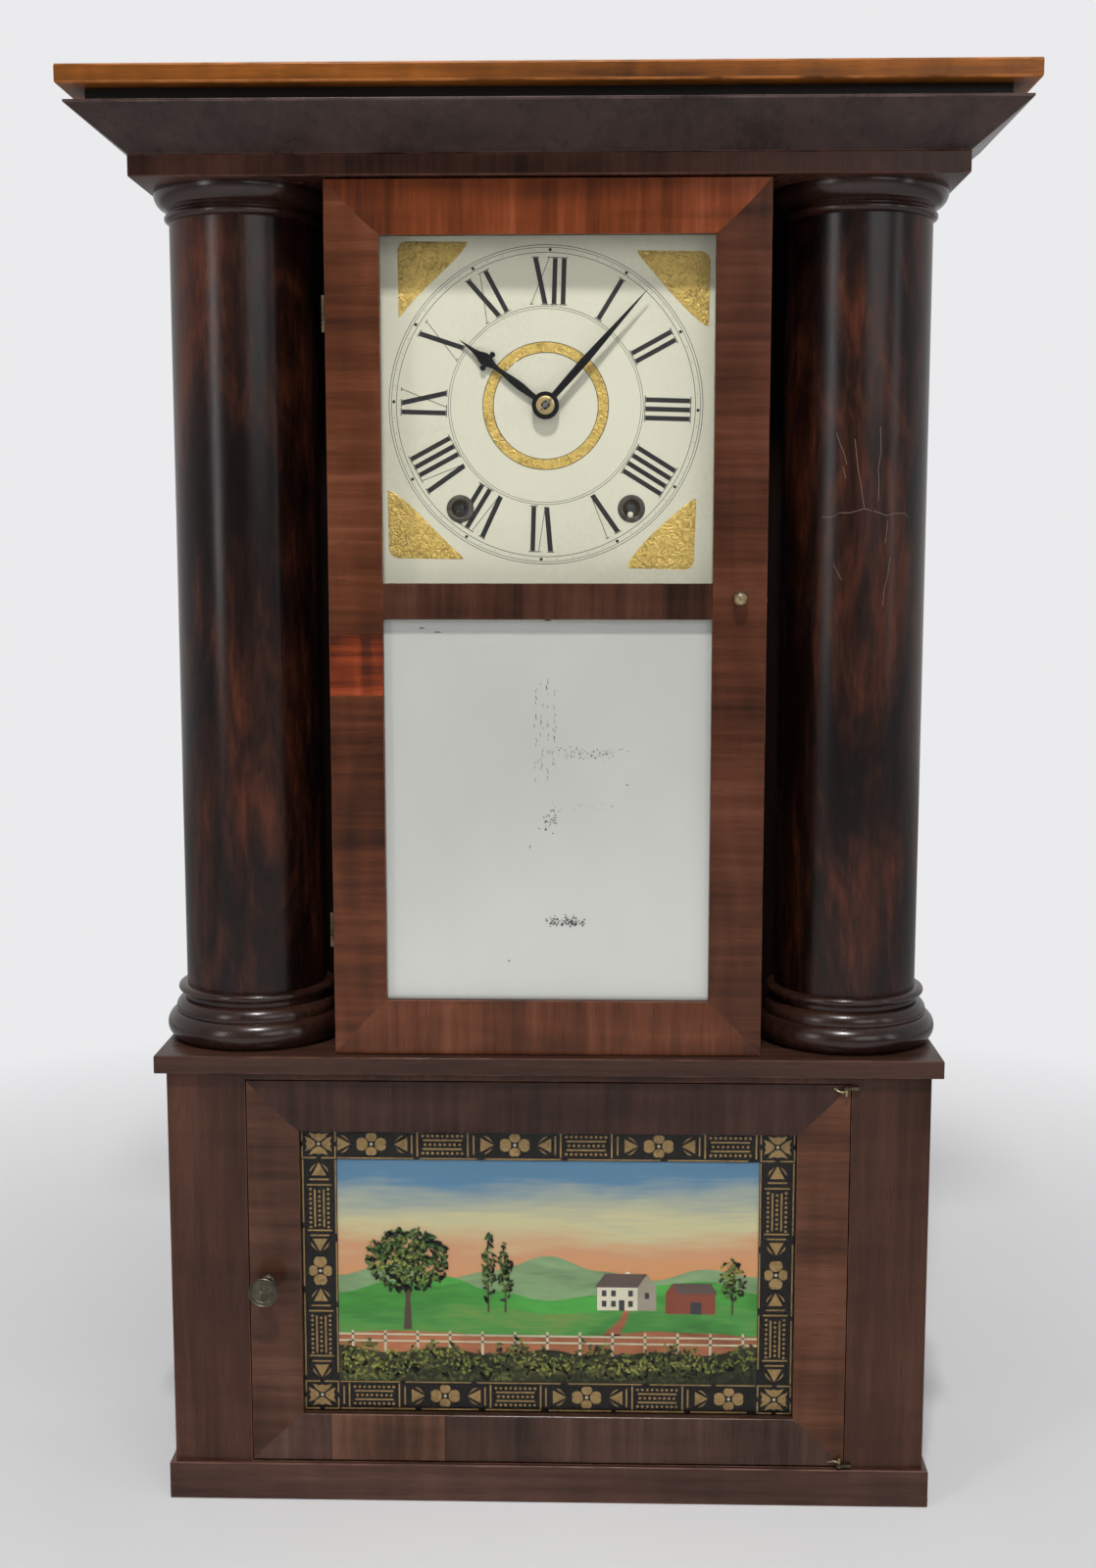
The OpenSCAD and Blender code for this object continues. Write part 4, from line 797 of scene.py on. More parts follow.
class CLOCK_OT_columns(ClockStep):
    """Hollow columns with their turned capitals and feet"""

    bl_idname = "clock.columns"
    bl_label = "Columns"

    bore = 38

    def execute(self, context):
        w = context.scene.clock_woods
        (_, y0, z0), (x1, y1, z1) = node_box("columns")
        radius = (y1 - y0) / 2
        self.radius, self.y, self.x = radius, mid(y0, y1), x1 - radius
        crotch = own("crotch_wood", crotch_mahogany, w.column)
        dark = own("turned_mahogany", turned_wood, w.turning, 0.24)
        steps = int((z1 - z0) / 12)
        shaft = [(self.bore, z1), (self.bore, z0)]
        shaft += [(radius, mid(z0, z1, k / steps)) for k in range(steps + 1)]
        for side, name in ((-1, "left"), (1, "right")):
            for part, profile, finish, slot, node in (
                    ("column_", shaft, crotch, "mahogany_crotch", "columns"),
                    ("capital_", self.capital(), dark, "mahogany_dark", "capitals"),
                    ("foot_", self.foot(), dark, "mahogany_dark", "column_feet")):
                bm = bmesh.new()
                turned(bm, profile, (side * self.x, self.y, 0), "Z", 128)
                piece(part + name, bm, finish, "case", [node], 40)
        self.cracks()
        return {"FINISHED"}

    def capital(self):
        """Bead, fillet and cove that opens under the frieze."""
        (_, _, z0), (x1, _, z1) = node_box("capitals")
        r, bore = self.radius, self.bore
        top = x1 - self.x
        return ([(bore, z1), (bore, z0), (r + 0.2, z0)] + arc(r + 0.6, z0 + 3.2, 2.4, -70, 80, 12)
                + [(r + 0.9, z0 + 6.3), (r + 1.6, z0 + 6.8)]
                + arc(r - 1.2, z1 - 1, top - r + 1.2, -68, 0, 14) + [(top, z1)])

    def foot(self):
        """Torus, cove and ring at the bottom of the shaft."""
        (_, _, z0), (x1, _, z1) = node_box("column_feet")
        r = x1 - self.x
        torus = 10
        return ([(self.bore, z0)] + arc(r - torus, z0 + torus - 1, torus, -64, 58, 18)
                + arc(r - 13.4, z0 + torus + 9.2, 7.7, -12, 76, 12)
                + [(r - 11.6, z1 - 6.6)] + arc(r - 10, z1 - 2.8, 2.6, -68, 62, 10)
                + [(self.radius + 1, z1), (self.bore, z1)])

    def cracks(self):
        """Hairline cracks in the right column's veneer, as angle from the front and height."""
        lines = (
            [(11.8, 687.0), (12.7, 672.2), (10.8, 661.4), (11.6, 654.0), (11.4, 642.4)],
            [(-7.7, 679.6), (-5.2, 663.1), (-2.8, 653.1), (0.5, 637.8)],
            [(-22.0, 683.9), (-19.2, 677.3), (-15.3, 669.8), (-13.3, 664.0)],
            [(-16.7, 663.2), (-13.9, 655.7)],
            [(-32.5, 632.5), (-24.5, 632.4), (-18.6, 635.1), (-11.8, 634.9), (-4.5, 636.1), (0.5, 637.5),
             (7.2, 636.1), (12.7, 634.9), (18.5, 633.2), (25.8, 634.8), (35.4, 634.6), (40.1, 632.5)],
            [(19.8, 630.7), (17.9, 616.5)],
            [(23.0, 608.1), (21.3, 603.1), (20.9, 597.2), (18.1, 589.6), (16.8, 577.9)],
            [(-22.7, 603.9), (-16.0, 594.3)],
        )
        degree = 0.8
        bm = bmesh.new()
        for line in lines:
            for (a0, z0), (a1, z1) in zip(line, line[1:]):
                upright = abs(z1 - z0) > abs(a1 - a0) * degree
                da, dz = (0.25, 0) if upright else (0, 0.22)
                count = max(1, int(math.hypot((a1 - a0) * degree, z1 - z0) / 1.5))
                rings = []
                for k in range(count + 1):
                    a, z = mid(a0, a1, k / count), mid(z0, z1, k / count)
                    ring = []
                    for side, out in ((-1, 0.05), (1, 0.05), (1, -0.1), (-1, -0.1)):
                        angle = math.radians(a + side * da)
                        r = self.radius + out
                        x, y = self.x + r * math.sin(angle), self.y - r * math.cos(angle)
                        ring.append((x, y, z + side * dz))
                    rings.append(ring)
                skin(bm, rings)
        pale = own("crack_edge", painted, srgb(112, 92, 84), 0.5)
        piece("column_cracks", bm, pale, "case")


def bowed(start, stop, bow):
    """Points of a hand-cut mitre between two corners, bowed slightly to one side."""
    count = 7
    (x0, z0), (x1, z1) = start, stop
    length = math.hypot(x1 - x0, z1 - z0)
    points = []
    for k in range(count + 1):
        off = bow * math.sin(math.pi * k / count) / length
        points.append((mid(x0, x1, k / count) + (z1 - z0) * off, mid(z0, z1, k / count) - (x1 - x0) * off))
    return points


class DoorVeneers:
    """Core of one door, and the veneers laid on its front."""

    shaft_hole = 2.4

    def __init__(self, door, slot, half, low, top, bow):
        woods = bpy.context.scene.clock_woods
        self.door, self.slot, self.thickness = door, slot, woods.veneer / MM
        self.node = door + "_door_frame"
        (self.x0, self.front, self.z0), (self.x1, _, self.z1) = node_box(self.node)
        core = own("door_core", wood, woods.trunk, "Z", 0.15, 0.6, 0.45)
        board(self.node, core, 0.4, extra=self.set_back)
        self.top_left = bowed((self.x0, self.z1), (-half, top), bow)
        self.top_right = bowed((self.x1, self.z1), (half, top), -0.8)
        self.low_left = bowed((self.x0, self.z0), (-half, low), -0.7)
        self.low_right = bowed((self.x1, self.z0), (half, low), 0.7)

    def set_back(self, bm):
        """Makes room for the veneers on the front of the core."""
        for v in bm.verts:
            if abs(v.co.y - self.front) < 0.05:
                v.co.y += self.thickness

    def lay(self, part, outline, finish, kept_sharp=()):
        """One leaf with its front edges eased and painted lighter, as wear and as painted highlight; edges
        lying along a height that is kept sharp stay sharp.
        """
        bm = bmesh.new()
        edge_wear_light = bm.faces.layers.float.new("edge_wear_light")
        prism(bm, outline, self.front, self.front + self.thickness - 0.02)
        edges = [e for e in bm.edges if all(abs(v.co.y - self.front) < 0.001 for v in e.verts)
                 and not any(all(abs(v.co.z - z) < 0.001 for v in e.verts) for z in kept_sharp)]
        ease_edges(bm, edges, 0.25, 1, edge_wear_light)
        body = frame["nodes"][self.node]["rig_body"]
        piece(f"{self.door}_{part}", bm, finish, body, [self.node], 25)

    def rails(self, top, low=None):
        """Rails that reach from mitre to mitre."""
        self.lay("top_rail", self.top_left[::-1] + self.top_right, top)
        if low:
            self.lay("bottom_rail", self.low_left + self.low_right[::-1], low)

    def knob_stile(self, side, edge, opening, z, finish):
        """Stile in two leaves that meet at the knob's height, with half of its shaft's hole in each."""
        (x0, _, _), (x1, _, _) = node_box(self.door + "_knob")
        x = mid(x0, x1)
        mitres = {"right": (self.top_right, self.low_right), "left": (self.top_left, self.low_left)}[side]
        for part, mitre, up in (("top", mitres[0], 1), ("low", mitres[1], -1)):
            hole = arc(x, z, self.shaft_hole, 0, 180 * up, 8)
            if abs(hole[0][0] - edge) > abs(hole[-1][0] - edge):
                hole.reverse()
            self.lay(f"{side}_stile_{part}", mitre[::-1] + [(edge, z)] + hole + [(opening, z)], finish, (z,))


def veneers(first, looks):
    """Finishes of a door's veneers, each cut from its own place in the wood."""
    return [own(key, wood, colour, *look, at=first + k) for k, (key, colour, *look) in enumerate(looks)]


class CLOCK_OT_upper_door(ClockStep):
    """Upper door: frame, mitred veneers, dial glass and mirror"""

    bl_idname = "clock.upper_door"
    bl_label = "Upper door"

    knob_height = 583.0

    # Heights of the replaced veneer on the left stile, and the seam between leaves
    patch_low, patch_top, seam = 523.1, 560.5, 0.1

    # Middle and top of the mirror in the photo, and the photo's pixels for each millimetre there
    photo_x, photo_y = 559, 632
    pixels_across, pixels_down = 1.653, 1.636

    # Worn spots by the photo's pixels: lines of fine scratches, with the first and last row they lie in
    scratch_columns, scratch_rows = (547, 553, 560, 566), (690, 798)
    # Clusters: middle, spread across and down, number and size in millimetres
    clusters = ((597, 768, 18, 3, 90, 0.8), (562, 837, 4, 5, 42, 1.0), (590, 822, 20, 3, 26, 0.5),
                (579, 942, 10, 2.6, 110, 1.2))
    # Single flecks: place, width and height in millimetres
    singles = ((431, 641, 4, 0.8), (447, 645, 5, 0.7), (559, 633, 6, 0.9), (641, 800, 1.2, 1.1),
               (519, 983, 1.4, 1.2), (625, 822, 1, 0.8), (541, 864, 0.6, 3))

    def execute(self, context):
        w = context.scene.clock_woods
        left, right, top, low, patch, middle = veneers(11, (
            ("upper_left_veneer", w.upper_left, "X", 0.3, 0.85, 0.3),
            ("upper_right_veneer", w.upper_right, "X", 0.3, 0.85, 0.3),
            ("upper_top_veneer", w.upper_top, "Z", 0.3, 0.9, 0.3),
            ("upper_low_veneer", w.upper_low, "Z", 0.3, 0.9, 0.3),
            ("patch_veneer", w.upper_patch, "X", 0.5, 1.3, 0.36),
            ("upper_mid_veneer", w.upper_mid, "Z", 0.3, 0.9, 0.32)))
        half, edge = UPPER_HALF, node_box("upper_door_frame")[0][0]
        above, below = self.patch_top + self.seam, self.patch_low - self.seam
        door = DoorVeneers("upper", "mahogany_red", half, MIRROR_LOW, DIAL_TOP, 0.9)
        door.rails(top, low)
        door.lay("left_stile_top", door.top_left + [(-half, above), (edge, above)], left)
        door.lay("left_stile_patch", rect(edge, self.patch_top, -half, self.patch_low), patch)
        door.lay("left_stile_low", [(edge, below), (-half, below)] + door.low_left[::-1], left)
        door.knob_stile("right", door.x1, half, self.knob_height, right)
        door.lay("middle_rail", rect(-half, DIAL_LOW, half, MIRROR_TOP), middle)
        dress("dial_glass", own("window_glass", clear_glass))
        dress("mirror_glass", own("mirror_silver", silvering, context.scene.clock_fittings.silver))
        self.wear_marks()
        return {"FINISHED"}

    def wear_marks(self):
        """Flecks where the silvering has come away, as seeded clusters placed by the photo's pixels."""
        self.front = node_box("mirror_glass")[0][1]
        chance = self.chance = random.Random(31)
        bm = bmesh.new()
        for column in self.scratch_columns:
            for _ in range(16):
                self.fleck(bm, column + chance.gauss(0, 1), chance.uniform(*self.scratch_rows), 0.35,
                           chance.uniform(0.8, 3.6))
        for x, y, spread_x, spread_y, count, size in self.clusters:
            for _ in range(count):
                self.fleck(bm, chance.gauss(x, spread_x), chance.gauss(y, spread_y),
                           size * chance.uniform(0.4, 1.6), size * chance.uniform(0.3, 1.0))
        for single in self.singles:
            self.fleck(bm, *single)
        bare = own("bare_backing", painted, srgb(60, 58, 56), 0.5)
        piece("mirror_wear", bm, bare, "upper_door")

    def fleck(self, bm, px, py, width, height):
        """Six-sided chip at a pixel of the photo, with its size in millimetres."""
        x = (px - self.photo_x) / self.pixels_across
        z = MIRROR_TOP - (py - self.photo_y) / self.pixels_down
        lean = self.chance.uniform(0, 3) * 0.1
        outline = []
        for k in range(6):
            a = math.pi * k / 3 + self.chance.uniform(-0.4, 0.4)
            c, s = width / 2 * math.cos(a), height / 2 * math.sin(a)
            outline.append((x + c * math.cos(lean) - s * math.sin(lean), z + s))
        prism(bm, outline, self.front - 0.03, self.front + 0.02)


class CLOCK_OT_lower_door(ClockStep):
    """Lower door: frame and mitred veneers"""

    bl_idname = "clock.lower_door"
    bl_label = "Lower door"

    knob_height = 145.7

    # Ends of the lighter patch on the bottom rail, and the seam between leaves
    patch_left, patch_right, seam = -139.9, -66.1, 0.1

    def execute(self, context):
        w = context.scene.clock_woods
        left, right, top, low, patch = veneers(21, (
            ("lower_left_veneer", w.lower_left, "X", 0.3, 0.9, 0.3),
            ("lower_right_veneer", w.lower_right, "X", 0.3, 0.9, 0.3),
            ("lower_top_veneer", w.lower_top, "Z", 0.3, 0.8, 0.32),
            ("lower_low_veneer", w.lower_low, "Z", 0.3, 0.8, 0.32),
            ("lower_patch_veneer", w.lower_patch, "Z", 0.4, 1.0, 0.34)))
        before, after = self.patch_left - self.seam, self.patch_right + self.seam
        door = DoorVeneers("lower", "mahogany_dark", TABLET_HALF, TABLET_LOW, TABLET_TOP, 0.8)
        door.rails(top)
        door.lay("bottom_rail_left", door.low_left + [(before, TABLET_LOW), (before, door.z0)], low)
        door.lay("bottom_rail_patch", [(self.patch_left, door.z0), (self.patch_left, TABLET_LOW),
                                       (self.patch_right, TABLET_LOW), (self.patch_right, door.z0)], patch)
        door.lay("bottom_rail_right", [(after, door.z0), (after, TABLET_LOW)] + door.low_right[::-1], low)
        door.lay("right_stile", door.top_right + door.low_right[::-1], right)
        door.knob_stile("left", door.x0, -TABLET_HALF, self.knob_height, left)
        return {"FINISHED"}


class CLOCK_OT_dial(ClockStep):
    """Dial board with its painted circles, dots, numerals and gilt corners"""

    bl_idname = "clock.dial"
    bl_label = "Dial"

    # Radius and width of the circles, and the radius of the ring of dots, about the hub
    circles = ((96.5, 0.34), (95.0, 0.28), (92.0, 0.34), (60.0, 0.3), (58.6, 0.25), (38.6, 0.5), (32.3, 0.5))
    dot_ring = 93.6
    gilt_ring = 35.45, 5.9
    # Each gilt corner: its outer corner, then the ends of its hollow edge
    gilt_corners = (
        ((-93.5, 96.3), (-50.7, 96.9), (-91.7, 50.7)), ((97.7, 95.1), (98.3, 50.7), (53.1, 94.5)),
        ((-94.7, -95.7), (-96.5, -54.2), (-48.3, -95.1)), ((94.7, -97.5), (53.7, -97.5), (94.7, -53.6)))

    def execute(self, context):
        d = context.scene.clock_dial
        self.turn = d.turned
        self.front = node_box("dial_board")[0][1]
        cream = own("cream_paint", painted, d.paint, 0.42, 0.05, 50, 0.06, 1.03)
        black = own("dial_black", painted, d.line, 0.45, 0.1, 200, 0.02)
        gilt = own("dial_gilt", gilding, d.gilt)
        dress("dial_board", cream)
        bm = bmesh.new()
        for radius, width in self.circles:
            self.circle(bm, radius, width, 0.05)
        for minute in range(60):
            angle = math.radians(90 - 6 * minute)
            size = 1.0 if minute % 5 == 0 else 0.27
            dot = arc(self.dot_ring * math.cos(angle), self.dot_ring * math.sin(angle), size, 0, 330, 11)
            prism(bm, self.placed(dot), self.front - 0.06, self.front + 0.05)
        for hour in range(1, 13):
            self.numeral(bm, hour, d.numeral_foot / MM, d.numeral_head / MM)
        piece("dial_lines", bm, black, "case", smooth=20)
        bm = bmesh.new()
        self.circle(bm, *self.gilt_ring, 0.08)
        piece("dial_gilt_ring", bm, gilt, "case")
        bm = bmesh.new()
        for corner in self.gilt_corners:
            self.corner(bm, *corner)
        piece("dial_gilt_corners", bm, gilt, "case", smooth=60)
        self.blisters(cream)
        self.grommets(context)
        return {"FINISHED"}

    def placed(self, outline):
        """Outline about the hub, turned with the painting."""
        c, s = math.cos(self.turn), math.sin(self.turn)
        return [(HUB[0] + x * c + z * s, HUB[1] - x * s + z * c) for x, z in outline]

    def circle(self, bm, radius, width, proud):
        section = rect(radius - width / 2, self.front - proud, radius + width / 2, self.front + 0.05)
        turned(bm, section, HUB_AXIS, "Y", 180)

    def stroke(self, bm, start, stop, width):
        """Straight stroke across the numeral and out from the dial's centre."""
        (u0, v0), (u1, v1) = start, stop
        h = width / 2
        self.shape(bm, [(u0 - h, v0), (u0 + h, v0), (u1 + h, v1), (u1 - h, v1)])

    def shape(self, bm, outline):
        c, s = math.cos(self.angle), math.sin(self.angle)
        flat = [(v * c + u * s, v * s - u * c) for u, v in outline]
        prism(bm, self.placed(flat), self.front - 0.07, self.front + 0.05)

    def numeral(self, bm, hour, foot, head):
        """Roman numeral with its feet towards the centre and fine lines for serifs."""
        text = ("I", "II", "III", "IIII", "V", "VI", "VII", "VIII", "IX", "X", "XI", "XII")[hour - 1]
        self.angle = math.radians(90 - 30 * hour)
        step = {"I": 5.5, "V": 11.0, "X": 12.0}
        low, high = foot + 0.4, head - 0.4
        # For each sign, its strokes as foot, head and width, and its serifs as start, end and height
        strokes = {"I": ((0, 0, 2.9),), "V": ((0.3, -2.9, 3.1), (1.2, 4.5, 0.4)),
                   "X": ((3.3, -3.3, 3.1), (-5.0, 5.0, 0.4))}
        serifs = {"I": ((-2.5, 2.5, foot), (-2.5, 2.5, head)), "V": ((-5.2, -0.6, head), (3.2, 5.7, head)),
                  "X": ((1, 5.6, foot), (-6, -3.9, foot), (-5.6, -1, head), (3.9, 6, head))}
        at = -sum(step[sign] for sign in text) / 2
        for sign in text:
            u = at + step[sign] / 2
            at += step[sign]
            for start, stop, width in strokes[sign]:
                self.stroke(bm, (u + start, low), (u + stop, high), width)
            for start, stop, v in serifs[sign]:
                self.shape(bm, rect(u + start, v - 0.26, u + stop, v + 0.26))

    def corner(self, bm, corner, first, last):
        """Embossed gilt corner with a hollow edge facing the circles."""
        (cx, cz), (ax, az), (bx, bz) = corner, first, last
        reach = 102.0
        a0, a1 = math.atan2(az, ax), math.atan2(bz, bx)
        count, rows = 64, 16
        rings = []
        for i in range(count + 1):
            t = i / count
            angle = mid(a0, a1, t)
            sag = mid(math.hypot(ax, az), math.hypot(bx, bz), t)
            r = sag + (reach - sag) * math.sin(math.pi * t) ** 0.6
            inner = (r * math.cos(angle), r * math.sin(angle))
            if t < 0.5:
                edge = mid(ax, cx, 2 * t), mid(az, cz, 2 * t)
            else:
                edge = mid(cx, bx, 2 * t - 1), mid(cz, bz, 2 * t - 1)
            near = (1 - min(1.0, abs(t - 0.5) / 0.06)) * 0.07
            edge = [mid(e, n, near) for e, n in zip(edge, inner)]
            top, base = [], []
            for k in range(rows + 1):
                v = k / rows
                x, z = mid(inner[0], edge[0], v), mid(inner[1], edge[1], v)
                (px, pz), = self.placed([(x, z)])
                fade = min(1.0, 12 * v * (1 - v)) * min(1.0, 12 * t * (1 - t))
                rise = 0.04 + 0.34 * self.swirl(x, z) * fade
                top.append((px, self.front - rise, pz))
                base.append((px, self.front + 0.05, pz))
            rings.append(top + base[::-1])
        skin(bm, rings)

    def swirl(self, x, z):
        """Relief of the embossing, 0 to 1."""
        wave = math.sin(0.62 * x + 2.6 * math.sin(0.33 * z)) * math.sin(0.58 * z + 2.1 * math.sin(0.37 * x))
        return (1 - abs(wave)) ** 1.6

    def blisters(self, cream):
        """Low blisters and pocks in the old paint."""
        bm = bmesh.new()
        chance = random.Random(12)
        for x, z, r in ((-52, 40, 2.2), (-19, 26, 1.6), (8, 72, 1.8), (33, -41, 2.4), (14, -18, 1.3),
                        (-28, -70, 1.9), (69, 36, 1.5), (-63, -9, 1.4), (52, -66, 1.7), (-8, -52, 2.1),
                        (24, 47, 1.2), (-80, 8, 1.6)):
            profile = [(r * k / 5, -0.11 * math.cos(math.pi * k / 10) ** 1.5) for k in range(5)]
            profile += [(r, 0), (r, 0.05), (0, 0.05)]
            turned(bm, profile, (HUB[0] + x + chance.uniform(-1, 1), self.front, HUB[1] + z), "Y", 20)
        piece("paint_blisters", bm, cream, "case", smooth=60)

    def grommets(self, context):
        """Dark rings round the winding holes, which replace the plain ones."""
        (x0, y0, z0), (x1, y1, z1) = node_box("dial_grommets")
        out = (z1 - z0) / 2
        bm = bmesh.new()
        for x in (x0 + out, x1 - out):
            profile = [(out - 3, y1), (out - 3, y0 + 0.25), (out - 2.6, y0 + 0.02)] + [
                (out - 2.2 + 1.9 * k / 6, y0 + 0.02 + 0.16 * (k / 6) ** 2) for k in range(7)]
            profile += [(out - 0.05, y0 + 0.5), (out, self.front), (out - 2, self.front), (out - 2, y1)]
            turned(bm, profile, (x, 0, (z0 + z1) / 2), "Y", 64)
        brass = own("dark_brass", metal, shade(context.scene.clock_fittings.brass, 0.36, 0.6), 0.5, 0.5)
        piece("winding_grommets", bm, brass, "case", ["dial_grommets"])


class CLOCK_OT_hands(ClockStep):
    """Black steel hands with their washer, square and taper pin"""

    bl_idname = "clock.hands"
    bl_label = "Hands"

    # Distance from the hub and half width along each blade and along the hour hand's arms
    minute_blade = ((6, 1.9), (20, 2.25), (36, 2.5), (60, 1.5), (80, 0.7), (93, 0.05))
    hour_blade = ((6, 1.6), (12, 1.9), (19, 2.5), (26, 2.2), (33, 1.45), (38, 1.5), (41, 2.2), (44, 3.5),
                  (47, 3.9), (49.2, 3.2), (51.5, 2.1), (55, 1.4), (60, 0.8), (66, 0.05))
    hour_arm = ((0.8, 1.5), (3.2, 1.3), (3.8, 1.25), (4.3, 1.6), (5.0, 1.85), (5.8, 1.6), (6.4, 0.9),
                (6.7, 0.1))
    arms_at = 44.4

    # Radius of each hand's hole, and where it points in degrees from twelve
    minute_hole, minute_angle = 2.75, 42
    hour_hole, hour_angle = 5.0, 307

    # Half the taper pin's run along x and along z
    pin_reach = 5.5 * 0.707

    def execute(self, context):
        fitting = context.scene.clock_fittings
        black = own("black_steel", metal, fitting.blued, 0.38, 0.25)
        for hand, hole, degrees, stations in (
                ("minute_hand", self.minute_hole, self.minute_angle, self.minute_blade),
                ("hour_hand", self.hour_hole, self.hour_angle, self.hour_blade)):
            (_, y0, _), (_, y1, _) = node_box(hand)
            bm = bmesh.new()
            profile = [(hole, y1), (hole, y0 + 0.1), (hole + 0.1, y0), (8.1, y0), (8.3, y0 + 0.2), (8.3, y1)]
            turned(bm, profile, HUB_AXIS, "Y", 64)
            self.blade(bm, stations, degrees, y0, y1)
            if hand == "hour_hand":
                self.cross(bm, degrees, y0, y1)
            piece(hand + "_blade", bm, black, hand, [hand], 25)
        self.fixing(fitting, node_box("minute_hand")[0][1])
        return {"FINISHED"}

    def fixing(self, fitting, front):
        """Washer, square end of the arbor, and pin in front of the minute hand."""
        bm = bmesh.new()
        profile = [(self.minute_hole, front), (self.minute_hole, front - 0.3), (3.6, front - 0.5),
                   (4.8, front - 0.46), (5.6, front - 0.2), (5.6, front)]
        turned(bm, profile, HUB_AXIS, "Y", 48)
        brass = own("worn_brass", metal, shade(fitting.brass, 1.15, -0.35), 0.42, 0.25)
        piece("hand_washer", bm, brass, "minute_hand")
        bm = bmesh.new()
        square = arc(*HUB, 2.9, -2, 268, 3)
        outer = [(mid(a[0], b[0], k / 6), mid(a[1], b[1], k / 6))
                 for a, b in zip(square, square[1:] + square[:1]) for k in range(6)]
        inner = oval(*HUB, 1.5, 1.5, 24)
        near, far = front - 0.72, front - 0.42
        skin(bm, [[(x, y, z) for x, z in ring]
                  for ring, y in ((outer, far), (outer, near), (inner, near), (inner, far))], joined=True)
        dark = own("dark_steel", metal, shade(fitting.steel, 0.08), 0.5, 0.3)
        piece("hand_square", bm, dark, "minute_hand")
        bm = bmesh.new()
        path = [(HUB[0] + self.pin_reach * t, front - 1.05, HUB[1] + self.pin_reach * t)
                for t in [k / 6 - 1 for k in range(13)]]
        swept(bm, path, lambda run: oval(0, 0, 0.3 + 0.02 * run, 0.3 + 0.02 * run, 12))
        piece("taper_pin", bm, own("bright_steel", metal, fitting.steel), "case")

    def blade(self, bm, stations, degrees, y0, y1):
        """Forged blade with a low ridge along its middle."""
        a = math.radians(90 - degrees)
        c, s = math.cos(a), math.sin(a)
        edge = mid(y0, y1, 0.45)
        rings = []
        for r, w in stations:
            ring = [(-w, y1), (-w, edge), (0, y0), (w, edge), (w, y1)]
            rings.append([(HUB[0] + r * c + u * s, y, HUB[1] + r * s - u * c) for u, y in ring])
        skin(bm, rings)

    def cross(self, bm, degrees, y0, y1):
        """Two short arms across the hour hand."""
        a = math.radians(90 - degrees)
        c, s = math.cos(a), math.sin(a)
        edge = mid(y0, y1, 0.4)
        for way in (-1, 1):
            rings = []
            for u, w in self.hour_arm:
                ring = [(-w, y1), (-w, edge), (0, y0 + 0.05), (w, edge), (w, y1)]
                rings.append([(HUB[0] + (self.arms_at + v) * c + way * u * s, y,
                               HUB[1] + (self.arms_at + v) * s - way * u * c) for v, y in ring])
            skin(bm, rings)


